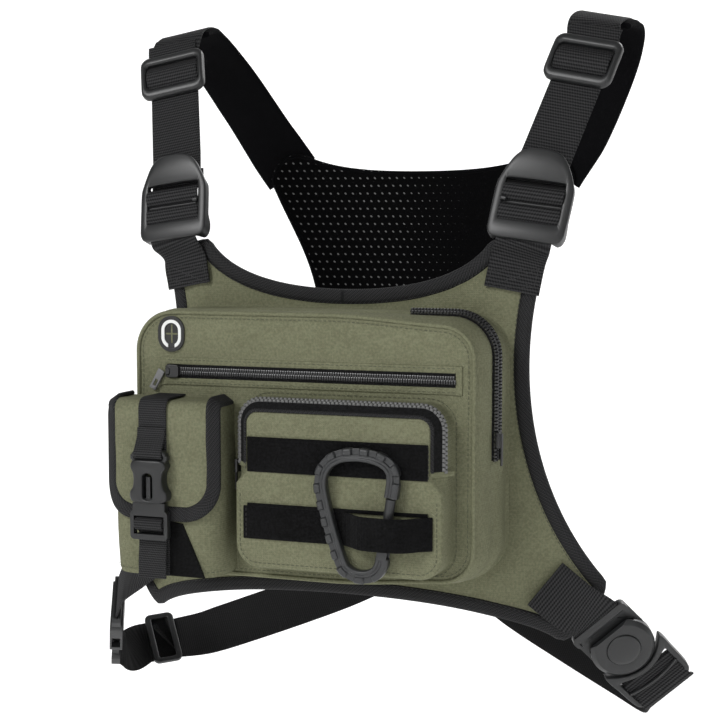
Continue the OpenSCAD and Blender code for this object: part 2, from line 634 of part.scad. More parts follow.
module waist_female_left() color(plastic) at_left() difference() {
  union() {
    translate([-4, 0, -5]) linear_extrude(10) rrect(36, 46, 5);
    translate([-24, 0, -3.4]) linear_extrude(6.8) rrect(12, 44, 4);
  }
  translate([-25.8, -20, -1.3]) cube([3, 40, 20]);
  translate([-40, -19.6, -1.3]) cube([15, 39.2, 2.6]);
  translate([-8, -18, -3]) cube([30, 36, 6]);
  translate([-6, -30, -3.4]) cube([13, 60, 6.8]);
}
module waist_male_left() color(plastic) at_left() difference() {
  union() {
    translate([15, -20, -2.6]) cube([8, 40, 5.2]);
    translate([12, -16, -2.6]) cube([4, 32, 5.2]);
    for (s = [-1, 1]) {
      translate([-2, s * 13.6 - 2.4, -2.6]) cube([16, 4.8, 5.2]);
      translate([-5, s * 14.2 - 3.4, -2.6]) cube([9, 6.8, 5.2]);
    }
    translate([-6, -2, -2.6]) cube([20, 4, 5.2]);
    translate([28, 0, -3.4]) linear_extrude(6.8) rrect(14, 46, 4);
  }
  translate([27, -20, -10]) cube([4, 40, 20]);
}
glide_left_at = [-208, 20, -243];
glide_left_along = unit([42, 32, 5]);
glide_left_side = unit([-0.5, 0.55, 0.67]);
waist_left_line = [left_point(38, -7.5), left_point(50, -10.5),
  glide_left_at - 16 * glide_left_along, glide_left_at,
  glide_left_at + 20 * glide_left_along, [-172, 44, -236], [-148, 57, -229],
  [-104, 76, -213], [-64, 86.4, -196], [-30, 90, -176]];
waist_left_sides = concat([for (i = [0 : 1]) left_side * sign(left_side[2])],
  [for (i = [1 : 3]) glide_left_side],
  [for (i = [1 : 5]) glide_left_side + i / 5 * ([-0.42, 0, 0.9] - glide_left_side)]);
waist_right_line = [base_point(44, -7), base_point(56, -11), [206, 8, -238], [178, 32, -236], [130, 60, -222],
  [84, 79, -204], [50, 88, -184], [22, 92.4, -164]];
waist_right_sides = concat([base_side, base_side],
  [for (i = [0 : 5]) [0.4, 0.1, 0.9] + i / 5 * [0.1, -0.1, -0.04]]);
module waist_strap_left() color(black)
  ribbon(smooth(waist_left_line, 3), smooth(waist_left_sides, 3), web_w, web_t);
module waist_strap_right() color(black)
  ribbon(smooth(waist_right_line, 3), smooth(waist_right_sides, 3), web_w, web_t);
module waist_glide_left() color(plastic) place(glide_left_at, glide_left_along, glide_left_side)
  difference() {
    translate([0, 0, 1.9]) linear_extrude(3.6) rrect(24, 47, 5);
    linear_extrude(10) rrect(14, 39, 2);
  }

front_panel_shell();
front_panel_foam();
front_panel_lining();
front_panel_binding();
main_pocket_front();
main_pocket_piping();
main_gusset_front();
main_gusset_rear();
main_zipper_chain();
main_zip_slider();
front_zip_chain();
front_zip_slider();
front_zip_pull();
front_zip_bag();
earphone_port();
earphone_ring();
small_pocket_front();
small_pocket_gusset();
small_zip_chain();
small_zip_slider();
loop_strap_upper();
loop_strap_lower();
carabiner_body();
carabiner_gate();
carabiner_pin();
pouch_body();
pouch_side_patch();
pouch_flap_hem();
pouch_flap();
pouch_flap_binding();
flap_web();
pouch_buckle_female();
pouch_buckle_male();
buckle_tail();
pouch_web();
mirrored() shoulder_anchor();  // shoulder_anchor_left
shoulder_anchor();  // shoulder_anchor_right
mirrored() ladder_lock();  // ladder_lock_left
ladder_lock();  // ladder_lock_right
mirrored() lock_web();  // lock_web_left
lock_web();  // lock_web_right
mirrored() shoulder_web();  // shoulder_web_left
shoulder_web();  // shoulder_web_right
mirrored() tri_glide();  // tri_glide_left
tri_glide();  // tri_glide_right
mirrored() glide_web();  // glide_web_left
glide_web();  // glide_web_right
mirrored() shoulder_pad();  // shoulder_pad_left
shoulder_pad();  // shoulder_pad_right
back_panel();
waist_anchor_left();
waist_anchor_right();
waist_female_left();
waist_male_left();
waist_glide_left();
waist_base_right();
waist_tongue_right();
waist_button_right();
waist_strap_left();
waist_strap_right();
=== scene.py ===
"""Looks for the chest rig vest: cloth, webbing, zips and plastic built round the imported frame.

Lengths in the shape code are millimetres in the row's frame (+Z up, -Y out of the chest) and
are turned into metres when a mesh is made.
"""

import math

import bmesh
import bpy
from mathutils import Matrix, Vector, noise


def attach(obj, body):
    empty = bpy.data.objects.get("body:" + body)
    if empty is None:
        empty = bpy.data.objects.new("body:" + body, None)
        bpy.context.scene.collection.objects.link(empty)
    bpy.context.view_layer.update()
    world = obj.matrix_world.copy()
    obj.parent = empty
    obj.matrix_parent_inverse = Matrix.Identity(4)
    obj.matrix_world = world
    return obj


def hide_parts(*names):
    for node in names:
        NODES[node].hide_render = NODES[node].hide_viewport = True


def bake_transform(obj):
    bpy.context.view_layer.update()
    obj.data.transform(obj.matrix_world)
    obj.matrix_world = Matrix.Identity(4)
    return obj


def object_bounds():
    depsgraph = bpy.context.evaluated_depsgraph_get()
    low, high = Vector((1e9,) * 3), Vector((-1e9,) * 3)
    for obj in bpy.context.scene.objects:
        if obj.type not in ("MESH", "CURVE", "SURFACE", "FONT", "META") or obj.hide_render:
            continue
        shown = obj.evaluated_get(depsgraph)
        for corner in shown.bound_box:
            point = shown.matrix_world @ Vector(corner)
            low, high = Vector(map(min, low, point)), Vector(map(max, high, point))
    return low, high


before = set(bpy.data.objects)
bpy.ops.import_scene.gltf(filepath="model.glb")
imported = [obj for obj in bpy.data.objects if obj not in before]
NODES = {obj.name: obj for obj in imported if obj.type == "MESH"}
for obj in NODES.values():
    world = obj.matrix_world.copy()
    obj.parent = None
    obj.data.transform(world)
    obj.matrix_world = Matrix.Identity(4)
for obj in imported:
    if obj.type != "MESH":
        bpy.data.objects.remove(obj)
cad_box = [list(p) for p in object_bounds()]
MM = 0.001


def vec(*p):
    return Vector(p)


def unit(*p):
    return Vector(p).normalized()


def spots(*rows):
    return [vec(*p) for p in rows]


# ---------------------------------------------------------------- materials
class Maker:
    """Builds one node material step by step."""

    def __init__(self, name, colour, rough, spec=0.5):
        self.mat = bpy.data.materials.new(name)
        self.mat.use_nodes = True
        self.tree = self.mat.node_tree
        self.shader = self.tree.nodes["Principled BSDF"]
        self.shader.inputs["Base Color"].default_value = (*colour, 1)
        self.shader.inputs["Roughness"].default_value = rough
        self.shader.inputs["Specular IOR Level"].default_value = spec

    def node(self, kind, **values):
        n = self.tree.nodes.new(kind)
        for key, value in values.items():
            setattr(n, key, value)
        return n

    def link(self, a, b):
        self.tree.links.new(a, b)

    def maths(self, op, a, b=None):
        n = self.node("ShaderNodeMath", operation=op)
        for i, value in enumerate((a, b)):
            if value is None:
                continue
            if isinstance(value, (int, float)):
                n.inputs[i].default_value = value
            else:
                self.link(value, n.inputs[i])
        return n.outputs[0]

    def place(self, uv):
        coords = self.node("ShaderNodeTexCoord")
        split = self.node("ShaderNodeSeparateXYZ")
        self.link(coords.outputs["UV" if uv else "Object"], split.inputs[0])
        self.coords = coords.outputs["UV" if uv else "Object"]
        return split.outputs

    def ripple(self, value, pitch):
        """A sine from 0 to 1 that repeats every pitch metres."""
        wave = self.maths("SINE", self.maths("MULTIPLY", value, 2 * math.pi / pitch))
        return self.maths("ADD", self.maths("MULTIPLY", wave, 0.5), 0.5)

    def grain(self, scale, detail=2.0):
        n = self.node("ShaderNodeTexNoise")
        n.inputs["Scale"].default_value = scale
        n.inputs["Detail"].default_value = detail
        self.link(self.coords, n.inputs["Vector"])
        return n.outputs["Fac"]

    def bump(self, height, distance, strength=1.0):
        n = self.node("ShaderNodeBump")
        n.inputs["Distance"].default_value = distance
        n.inputs["Strength"].default_value = strength
        self.link(height, n.inputs["Height"])
        self.link(n.outputs["Normal"], self.shader.inputs["Normal"])

    def shade(self, factor, dark, light, low=0.0, high=1.0):
        """Colours the surface from dark to light as factor goes from low to high."""
        ramp = self.node("ShaderNodeMapRange")
        ramp.inputs["From Min"].default_value = low
        ramp.inputs["From Max"].default_value = high
        self.link(factor, ramp.inputs["Value"])
        mix = self.node("ShaderNodeMix", data_type="RGBA")
        mix.inputs[6].default_value = (*dark, 1)
        mix.inputs[7].default_value = (*light, 1)
        self.link(ramp.outputs[0], mix.inputs[0])
        self.link(mix.outputs[2], self.shader.inputs["Base Color"])


def cloth(name, dark, light, pitch=0.0015, depth=0.00028, rough=0.85, sheen=0.0):
    """Close woven cloth: a fine grid of threads with a faint blotch."""
    m = Maker(name, light, rough, 0.12)
    x, y, z = m.place(False)
    threads = m.maths("MULTIPLY", m.ripple(m.maths("ADD", x, y), pitch), m.ripple(z, pitch))
    fine, broad = m.maths("MULTIPLY", m.grain(650.0), 0.75), m.maths("MULTIPLY", m.grain(45.0), 0.25)
    blotch = m.maths("ADD", fine, broad)
    height = m.maths("ADD", m.maths("MULTIPLY", threads, 0.6), blotch)
    m.bump(height, depth)
    m.shade(blotch, dark, light, 0.36, 0.64)
    m.shader.inputs["Sheen Weight"].default_value = sheen
    m.shader.inputs["Sheen Roughness"].default_value = 0.5
    return m.mat


def ribbed(name, dark, light, pitch, across, depth=0.0003, lean=0.0):
    """Webbing: ribs across the strap, broken by warp threads along it; lean makes them chevrons. Its colour
    follows their height: painted shade in the valleys, painted light on the crests.
    """
    m = Maker(name, light, 0.72, 0.16)
    u, v, _ = m.place(True)
    along = m.maths("ADD", v, m.maths("MULTIPLY", m.maths("ABSOLUTE", u), lean)) if lean else v
    rib = m.ripple(along, pitch)
    twill = m.maths("ADD", m.maths("MULTIPLY", u, pitch / across), m.maths("MULTIPLY", v, 0.5))
    slant = m.ripple(twill, pitch)
    height = m.maths("ADD", m.maths("MULTIPLY", rib, 0.65), m.maths("MULTIPLY", slant, 0.35))
    m.bump(height, depth)
    # the colour follows the ribs' height: painted shade in the valleys between the ribs and painted light on
    # their crests
    m.shade(height, dark, light, 0.2, 0.8)
    return m.mat


def plain(name, colour, rough, grain_scale=0.0, depth=0.0, metal=0.0, spec=0.5):
    m = Maker(name, colour, rough, spec)
    m.shader.inputs["Metallic"].default_value = metal
    if grain_scale:
        m.place(False)
        m.bump(m.grain(grain_scale), depth)
    return m.mat


def perforated(name, dark, dot):
    """Knit-faced neoprene with staggered rows of small holes; the holes' light grey is painted light, kept to
    the panel's left and upper part.
    """
    m = Maker(name, dark, 0.9, 0.05)
    x, _, z = m.place(False)
    pitch = 0.0062
    slanted = m.maths("ADD", x, m.maths("MULTIPLY", z, 0.5))
    dx = m.maths("SUBTRACT", m.maths("FRACT", m.maths("DIVIDE", m.maths("ADD", slanted, 2.0), pitch)), 0.5)
    dz = m.maths("SUBTRACT", m.maths("FRACT", m.maths("DIVIDE", m.maths("ADD", z, 2.0), pitch)), 0.5)
    far = m.maths("SQRT", m.maths("ADD", m.maths("MULTIPLY", dx, dx), m.maths("MULTIPLY", dz, dz)))
    # side and low fade the holes' painted light out to the right of x = -0.02 m and below z = 0.06 m
    side = m.maths("MULTIPLY", m.maths("MAXIMUM", m.maths("SUBTRACT", x, -0.02), 0.0), 2.2)
    low = m.maths("MULTIPLY", m.maths("MAXIMUM", m.maths("SUBTRACT", 0.06, z), 0.0), 2.2)
    m.shade(m.maths("ADD", far, m.maths("ADD", side, low)), dot, dark, 0.11, 0.15)
    m.bump(m.maths("ADD", m.grain(1500.0), m.maths("MINIMUM", far, 0.18)), 0.0006)
    return m.mat


OLIVE_LIGHT = (0.168, 0.172, 0.108)
OLIVE_DARK = (0.120, 0.123, 0.075)
OLIVE = cloth("olive_fabric", OLIVE_DARK, OLIVE_LIGHT)
LINING = cloth("lining_mesh", (0.004, 0.004, 0.0045), (0.014, 0.014, 0.015), 0.0022, 0.0005)
# each ribbed material's dark colour is painted shade in its rib valleys and its light colour is painted light
# on the crests
WEBBING = ribbed("webbing", (0.0035, 0.0035, 0.004), (0.031, 0.031, 0.032), 0.0023, 0.0019)
FINE_WEB = ribbed("fine_webbing", (0.004, 0.004, 0.0045), (0.033, 0.033, 0.034), 0.0015, 0.0013, 0.0002)
SOFT_WEB = ribbed("soft_webbing", (0.0035, 0.0035, 0.0035), (0.012, 0.012, 0.0125), 0.0017, 0.0015, 0.0001)
TAPE = ribbed("binding_tape", (0.0045, 0.0045, 0.005), (0.032, 0.032, 0.033), 0.0016, 0.0024, 0.0002, 1.2)
LOOP = cloth("brushed_loop", (0.0015, 0.0015, 0.0015), (0.0065, 0.0065, 0.007), 0.0009, 0.0006, 1.0, 0.02)
NEOPRENE = plain("neoprene", (0.0035, 0.0035, 0.004), 0.9, 1500.0, 0.0003, spec=0.04)
# the 0.13 grey is painted light in the holes, not the neoprene's own colour
PERFORATED = perforated("perforated_neoprene", (0.0016, 0.0016, 0.0018), (0.13, 0.13, 0.13))
PLASTIC = plain("buckle_plastic", (0.0125, 0.013, 0.0135), 0.36, 2600.0, 0.00005, spec=0.45)
DARK_PLASTIC = plain("slider_plastic", (0.011, 0.011, 0.0115), 0.33, 2000.0, 0.00004)
CARABINER = plain("carabiner_finish", (0.021, 0.022, 0.023), 0.4, 1500.0, 0.00004)
ZIP_TAPE = cloth("zip_tape", (0.003, 0.003, 0.003), (0.011, 0.011, 0.0115), 0.0009, 0.0002)
TEETH = plain("zip_coil", (0.022, 0.022, 0.0225), 0.28)
BRIGHT_TEETH = plain("small_zip_coil", (0.12, 0.12, 0.118), 0.4)
PULL = plain("zip_pull_finish", (0.15, 0.15, 0.152), 0.3)
THREAD = plain("thread", (0.060, 0.062, 0.037), 0.75)
DARK_THREAD = plain("dark_thread", (0.014, 0.014, 0.0145), 0.6)
RUBBER = plain("port_rubber", (0.007, 0.007, 0.007), 0.5)
WHITE = plain("white_ring", (0.72, 0.73, 0.72), 0.35)
STEEL = plain("steel_pin", (0.55, 0.55, 0.55), 0.3, metal=1.0)


# ---------------------------------------------------------------- mesh tools
def finish_piece(obj, material, body, replaced=(), smooth=40.0):
    obj.data.materials.clear()
    obj.data.materials.append(material)
    obj.data.shade_smooth()
    if smooth < 180:
        obj.data.set_sharp_from_angle(angle=math.radians(smooth))
    if isinstance(body, str):
        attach(obj, body)
    else:
        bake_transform(obj)
    if replaced:
        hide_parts(*replaced)
    return obj


def new_object(name, data):
    obj = bpy.data.objects.new(name, data)
    bpy.context.collection.objects.link(obj)
    return obj


def grid_faces(rows, columns, round_rows=False, round_columns=False, flip=False, base=0):
    """Quads over points laid out row by row; a round direction joins its last points to its first."""
    out = []
    for i in range(rows if round_rows else rows - 1):
        j = (i + 1) % rows
        for k in range(columns if round_columns else columns - 1):
            m = (k + 1) % columns
            quad = [base + r * columns + c for r, c in ((i, k), (i, m), (j, m), (j, k))]
            out.append((quad[0], quad[3], quad[2], quad[1]) if flip else tuple(quad))
    return out


def mesh_from(name, points, faces, uvs=None):
    """points in millimetres; uvs, one per point, in metres."""
    me = bpy.data.meshes.new(name)
    me.from_pydata([tuple(p * MM) for p in points], [], faces)
    if uvs:
        layer = me.uv_layers.new(name="UVMap")
        for loop in me.loops:
            layer.data[loop.index].uv = uvs[loop.vertex_index]
    me.validate()
    return new_object(name, me)


def catmull(p, t):
    """A point at t from 0 to len(p) - 1 on a smooth curve through p."""
    i = min(int(t), len(p) - 2)
    f = t - i
    a, b, c, d = p[max(i - 1, 0)], p[i], p[i + 1], p[min(i + 2, len(p) - 1)]
    return 0.5 * (2 * b + (c - a) * f + (2 * a - 5 * b + 4 * c - d) * f * f
                  + (3 * b - a - 3 * c + d) * f ** 3)


def even_line(points, step, extra=None):
    """Points every step mm along a smooth curve through points; extra vectors are carried along it."""
    points = [Vector(p) for p in points]
    fine = [i / 24 for i in range((len(points) - 1) * 24 + 1)]
    spots = [catmull(points, t) for t in fine]
    run = [0.0]
    for a, b in zip(spots, spots[1:]):
        run.append(run[-1] + (b - a).length)
    count = max(2, round(run[-1] / step))
    out, carried, k = [], [], 0
    for i in range(count + 1):
        s = run[-1] * i / count
        while k < len(run) - 2 and run[k + 1] < s:
            k += 1
        f = (s - run[k]) / max(run[k + 1] - run[k], 1e-9)
        out.append(spots[k].lerp(spots[k + 1], min(max(f, 0), 1)))
        if extra:
            t = fine[k] + f * (fine[k + 1] - fine[k])
            j = min(int(t), len(extra) - 2)
            carried.append(Vector(extra[j]).lerp(Vector(extra[j + 1]), t - j))
    return (out, carried) if extra else out


def section(width, thick, columns=8, edge=3):
    """A flat section with round edges, as (across, up) points going round."""
    half, r = width / 2 - thick / 2, thick / 2
    top = [(-half + 2 * half * i / columns, r) for i in range(columns + 1)]
    right = [(half + r * math.sin(math.pi * i / (edge + 1)), r * math.cos(math.pi * i / (edge + 1)))
             for i in range(1, edge + 1)]
    under = [(-x, -y) for x, y in top]
    left = [(-x, -y) for x, y in right]
    return top + right + under + left


def sweep(name, line, sides, ring, closed=False, shape=None):
    """Sweeps ring, a list of (across, up) points, along line. shape(i, s, point) may change a point."""
    n, m = len(line), len(ring)
    points, uvs, run = [], [], 0.0
    for i, p in enumerate(line):
        before = line[(i - 1) % n] if closed else line[max(i - 1, 0)]
        after = line[(i + 1) % n] if closed else line[min(i + 1, n - 1)]
        along = (after - before).normalized()
        side = Vector(sides[i]) if isinstance(sides, list) else Vector(sides)
        side = (side - side.dot(along) * along).normalized()
        up = along.cross(side)
        if i:
            run += (p - line[i - 1]).length
        for q in ring:
            x, y = shape(i, run, q) if shape else q
            points.append(p + side * x + up * y)
            uvs.append((x * MM, run * MM))
    faces = grid_faces(n, m, closed, True, flip=True)
    if not closed:
        faces.append(tuple(range(m)))
        faces.append(tuple(range(n * m - 1, (n - 1) * m - 1, -1)))
    return mesh_from(name, points, faces, uvs)


def strap(name, points, sides, width, thick, material, body, replaced=(), rib=2.3, depth=0.16,
          soft=0.0):
    """A flat strap with real ribs across it, along a smooth curve.

    sides says which way its width lies, as one direction or one for each point.
    """
    step = rib / 4 if rib else 3.0
    if isinstance(sides, Vector):
        sides = [sides] * len(points)
    line, carried = even_line(points, step, sides)

    def wave(i, s, q):
        x, y = q
        if rib and abs(x) < width / 2 - thick / 2 + 0.1:
            y += math.copysign(depth * math.cos(2 * math.pi * s / rib), y)
        if soft:
            p = line[i]
            y += soft * noise.noise(Vector((p.x * 0.03, p.y * 0.03, p.z * 0.03 + x * 0.02)))
        return x, y

    obj = sweep(name, line, carried, section(width, thick), shape=wave)
    return finish_piece(obj, material, body, replaced, 60)


def stitches(name, line, normals, body, material=THREAD, pitch=3.4, length=2.3, thick=0.45):
    """A row of sewn stitches lying on a surface along line."""
    line = [Vector(p) for p in line]
    points, faces = [], []
    run, next_at = 0.0, pitch / 2
    for i, (a, b) in enumerate(zip(line, line[1:])):
        d = (b - a).length
        while d > 1e-6 and next_at <= run + d:
            spot = a.lerp(b, (next_at - run) / d)
            along = (b - a) / d
            normal = Vector(normals[i]) if isinstance(normals, list) else Vector(normals)
            side = along.cross(normal).normalized()
            up = side.cross(along)
            base = len(points)
            for s, w, h in ((-0.5, 0.45, -0.5), (-0.3, 1, 0.5), (0.3, 1, 0.5), (0.5, 0.45, -0.5)):
                for x in (-1, 0, 1):
                    lift = h * thick * (1 if x == 0 else 0.3)
                    points.append(spot + along * s * length + side * x * thick * w * 0.5 + up * lift)
            faces += grid_faces(4, 3, base=base)
            next_at += pitch
        run += d
    if not points:
        return None
    return finish_piece(mesh_from(name, points, faces), material, body)


def evaluated(obj):
    """Applies the modifiers of obj."""
    graph = bpy.context.evaluated_depsgraph_get()
    made = bpy.data.meshes.new_from_object(obj.evaluated_get(graph))
    obj.modifiers.clear()
    obj.data = made
    return obj


def round_edges(obj, width, segments, angle):
    bevel = obj.modifiers.new("round", "BEVEL")
    bevel.width = width * MM
    bevel.segments = segments
    bevel.limit_method = "ANGLE"
    bevel.angle_limit = math.radians(angle)
    bevel.use_clamp_overlap = True
    bpy.context.view_layer.update()
    return evaluated(obj)


def soften(node, body, material, width=0.5, segments=3, angle=28):
    """Stands for a moulded CAD node: the same solid with rounded edges."""
    me = NODES[node].data.copy()
    obj = new_object(node + "_moulded", me)
    bm = bmesh.new()
    bm.from_mesh(me)
    bmesh.ops.remove_doubles(bm, verts=bm.verts, dist=2e-6)
    bmesh.ops.dissolve_limit(bm, angle_limit=math.radians(1.5), verts=bm.verts, edges=bm.edges)
    bm.to_mesh(me)
    bm.free()
    round_edges(obj, width, segments, angle)
    return finish_piece(obj, material, body, (node,), 35)


def smooth_loop(half, steps=6):
    """A closed smooth outline through the right half given from top to bottom, and its mirror."""
    loop = [Vector((x, z, 0)) for x, z in half + [(-x, z) for x, z in reversed(half[1:-1])]]
    n = len(loop)
    out = []
    for i in range(n):
        four = [loop[(i + k) % n] for k in (-1, 0, 1, 2)]
        out += [catmull(four, 1 + f / steps) for f in range(steps)]
    return [(p.x, p.y) for p in out]


def ring_piece(name, outer, inner, front, back, place, edge=1.0):
    """A moulded ring between two outlines, whose right halves have as many points.

    front and back give its depth at (a, b), and place(a, b, depth) puts it in the frame.
    """
    points, around = [], list(zip(smooth_loop(outer), smooth_loop(inner)))
    for (ox, oz), (ix, iz) in around:
        o, i = Vector((ox, oz)), Vector((ix, iz))
        d = (i - o).normalized()
        e = min(edge, (i - o).length * 0.45)
        profile = [(o, None), (o, e), (o + d * e * 0.3, e * 0.3), (o + d * e, 0), ((o + i) / 2, 0),
                   (i - d * e, 0), (i - d * e * 0.3, e * 0.3), (i, e), (i, None)]
        for p, drop in profile:
            depth = back(p.x, p.y) if drop is None else front(p.x, p.y) - drop
            points.append(place(p.x, p.y, depth))
    obj = mesh_from(name, points, grid_faces(len(around), len(profile), True, True))
    bm = bmesh.new()
    bm.from_mesh(obj.data)
    bmesh.ops.recalc_face_normals(bm, faces=bm.faces)
    bm.to_mesh(obj.data)
    bm.free()
    return obj


def bar(name, a, b, radius, material, body):
    """A round bar from a to b."""
    line = [a.lerp(b, i / 4) for i in range(5)]
    across = (b - a).cross(vec(0.3, 0.5, 0.8)).normalized()
    ring = [(radius * math.cos(k * math.pi / 8), radius * math.sin(k * math.pi / 8)) for k in range(16)]
    return finish_piece(sweep(name, line, across, ring), material, body)


# ---------------------------------------------------------------- shape of the rig
# the panel's face, flat to FLAT_HALF on each side and then wrapped back round the chest
PANEL_Y = -100.0
FLAT_HALF = 100.0
WRAP_R = 240.0
# the main pocket, the small pocket on it and the side pouch: middle, size and corner radius
POCKET_X, POCKET_Z = -7.5, -46.5
POCKET_W, POCKET_H, POCKET_R = 253.0, 183.0, 28.0
POCKET_Y = -158.4
SMALL_X, SMALL_Z = 25.0, -69.0
SMALL_W, SMALL_H, SMALL_R = 146.0, 114.0, 16.0
SMALL_Y = -183.0
POUCH_X, POUCH_W, POUCH_D, POUCH_R = -99.0, 82.0, 34.0, 17.0
POUCH_Z0, POUCH_Z1 = -135.0, -18.0
FRONT = Vector((0, -1, 0))
UP = Vector((0, 0, 1))
ACROSS = Vector((1, 0, 0))
WEB_W, WEB_T = 38.0, 1.6
NARROW_W, NARROW_T = 21.0, 1.4


def wrap(x):
    return PANEL_Y + max(0.0, abs(x) - FLAT_HALF) ** 2 / WRAP_R


def bezier(a, b, c, d, n, start=0):
    out = []
    for i in range(start, n + 1):
        t = i / n
        k = ((1 - t) ** 3, 3 * (1 - t) ** 2 * t, 3 * (1 - t) * t * t, t ** 3)
        out.append(tuple(sum(w * p[j] for w, p in zip(k, (a, b, c, d))) for j in (0, 1)))
    return out


def mirrored_outline(right):
    return right + [(-x, z) for x, z in reversed(right[1:-1])]


PANEL_RIGHT = (bezier((0, 59), (56, 59), (92, 72), (106, 94), 20)
               + bezier((106, 94), (110, 96), (139, 86), (143, 83), 4, 1)
               + bezier((143, 83), (128, 30), (121, -58), (183, -142), 34, 1)
               + bezier((183, -142), (187, -152), (166, -184), (154, -184), 10, 1)
               + bezier((154, -184), (138, -168), (80, -160), (0, -160), 24, 1))
PANEL = mirrored_outline(PANEL_RIGHT)


def inset(outline, d):
    n = len(outline)
    out = []
    for i, (x, z) in enumerate(outline):
        ax, az = outline[i - 1]
        bx, bz = outline[(i + 1) % n]
        t = Vector((bx - ax, bz - az)).normalized()
        out.append((x + d * t.y, z - d * t.x))
    return out


def sheet_solid(name, outline, front, back, step=8.0):
    """A solid cut to an outline in X-Z, its faces at the depths front(x, z) and back(x, z)."""
    bm = bmesh.new()
    bm.faces.new([bm.verts.new((x, 0, z)) for x, z in outline])
    for axis in (0, 2):
        lo = min(p[axis // 2] for p in outline)
        hi = max(p[axis // 2] for p in outline)
        at = math.ceil(lo / step) * step + 0.37
        while at < hi:
            plane = Vector((at if axis == 0 else 0, 0, at if axis == 2 else 0))
            normal = Vector((1, 0, 0)) if axis == 0 else Vector((0, 0, 1))
            bmesh.ops.bisect_plane(bm, geom=bm.verts[:] + bm.edges[:] + bm.faces[:], plane_co=plane,
                                   plane_no=normal, dist=1e-4)
            at += step
    bmesh.ops.remove_doubles(bm, verts=bm.verts, dist=0.05)
    bmesh.ops.recalc_face_normals(bm, faces=bm.faces)
    first = bm.verts[:]
    grown = bmesh.ops.extrude_face_region(bm, geom=bm.faces[:], use_keep_orig=True)
    second = [v for v in grown["geom"] if isinstance(v, bmesh.types.BMVert)]
    for v in second:
        v.co.y = back(v.co.x, v.co.z)
    for v in first:
        v.co.y = front(v.co.x, v.co.z)
    bmesh.ops.recalc_face_normals(bm, faces=bm.faces)
    bmesh.ops.scale(bm, vec=(MM,) * 3, verts=bm.verts)
    me = bpy.data.meshes.new(name)
    bm.to_mesh(me)
    bm.free()
    return new_object(name, me)


def ripple(x, z, size=0.02, seed=0.0):
    return noise.noise(Vector((x * size, seed, z * size)))


# ---------------------------------------------------------------- front panel
def pocket_reach(x, z):
    """How far (x, z) lies outside the main pocket's outline, in millimetres."""
    dx = abs(x - POCKET_X) - POCKET_W / 2 + POCKET_R
    dz = abs(z - POCKET_Z) - POCKET_H / 2 + POCKET_R
    return math.hypot(max(dx, 0), max(dz, 0)) - POCKET_R + min(max(dx, dz), 0)


def to_edge(x, z):
    """How far (x, z) is from the panel's outline."""
    best = 1e9
    for (ax, az), (bx, bz) in zip(PANEL, PANEL[1:] + PANEL[:1]):
        dx, dz = bx - ax, bz - az
        t = min(1, max(0, ((x - ax) * dx + (z - az) * dz) / max(dx * dx + dz * dz, 1e-9)))
        best = min(best, math.hypot(x - ax - t * dx, z - az - t * dz))
    return best


def panel_front(x, z):
    edge = pocket_reach(x, z)
    free = min(1.0, max(0.0, (to_edge(x, z) - 10) / 12))
    folds = 0.7 * ripple(x, z, 0.03) + 0.4 * ripple(x, z, 0.09, 3.0)
    swell = 1.8 * math.exp(-((edge - 14) / 11) ** 2) + folds
    return wrap(x) - 0.2 + 0.5 * (1 - free) - swell * free


def edge_sides(line, slope):
    """Directions across an edging on a panel whose depth grows by slope(x) along X."""
    out = []
    for i, p in enumerate(line):
        along = (line[(i + 1) % len(line)] - line[i - 1]).normalized()
        out.append(along.cross(vec(slope(p.x), -1, 0).normalized()))
    return out


def wrap_slope(x):
    return 2 * math.copysign(max(0.0, abs(x) - FLAT_HALF), x) / WRAP_R


def front_panel():
    core = sheet_solid("front_panel_padded", inset(PANEL, 3.5), panel_front,
                       lambda x, z: wrap(x) + 4.2 + 0.3 * ripple(x, z, 0.05, 5.0), 6.0)
    finish_piece(core, OLIVE, "vest", ("front_panel_shell", "front_panel_foam"), 50)
    lining = sheet_solid("front_panel_mesh_lining", inset(PANEL, 4.0),
                         lambda x, z: wrap(x) + 4.0,
                         lambda x, z: wrap(x) + 5.3 + 0.5 * ripple(x, z, 0.06, 9.0), 9.0)
    finish_piece(lining, LINING, "vest", ("front_panel_lining",), 50)

    loop = inset(PANEL, 5.2)
    pts = [vec(x, wrap(x) + 2.0, z) for x, z in loop]
    line = even_line(pts + [pts[0]], 2.6)[:-1]
    binding = sweep("front_panel_bias_binding", line, edge_sides(line, wrap_slope), section(11.2, 7.4, 6, 5),
                    closed=True)
    finish_piece(binding, TAPE, "vest", ("front_panel_binding",), 60)
    seam = inset(PANEL, 9.6)
    pts = [vec(x, wrap(x) - 2.0, z) for x, z in seam]
    dense = even_line(pts + [pts[0]], 2.0)
    stitches("front_panel_binding_stitch", dense, FRONT, "vest", DARK_THREAD)


# ---------------------------------------------------------------- pockets
def rounded(w, h, r, corner=10, straight=10):
    """A rounded rectangle as (x, z), from the middle of its top edge, clockwise."""
    out = []
    spans = [((0, h / 2), (w / 2 - r, h / 2)), None, ((w / 2, h / 2 - r), (w / 2, -h / 2 + r)), None,
             ((w / 2 - r, -h / 2), (-w / 2 + r, -h / 2)), None,
             ((-w / 2, -h / 2 + r), (-w / 2, h / 2 - r)), None, ((-w / 2 + r, h / 2), (0, h / 2))]
    centres = [(w / 2 - r, h / 2 - r, 90), (w / 2 - r, -h / 2 + r, 0),
               (-w / 2 + r, -h / 2 + r, -90), (-w / 2 + r, h / 2 - r, 180)]
    k = 0
    for span in spans:
        if span:
            (ax, az), (bx, bz) = span
            count = straight if k in (1, 2, 3) else straight // 2
            out += [(ax + (bx - ax) * i / count, az + (bz - az) * i / count) for i in range(count)]
        else:
            cx, cz, a0 = centres[k]
            out += [(cx + r * math.cos(math.radians(a0 - 90 * i / corner)),
                     cz + r * math.sin(math.radians(a0 - 90 * i / corner))) for i in range(corner)]
            k += 1
    return out


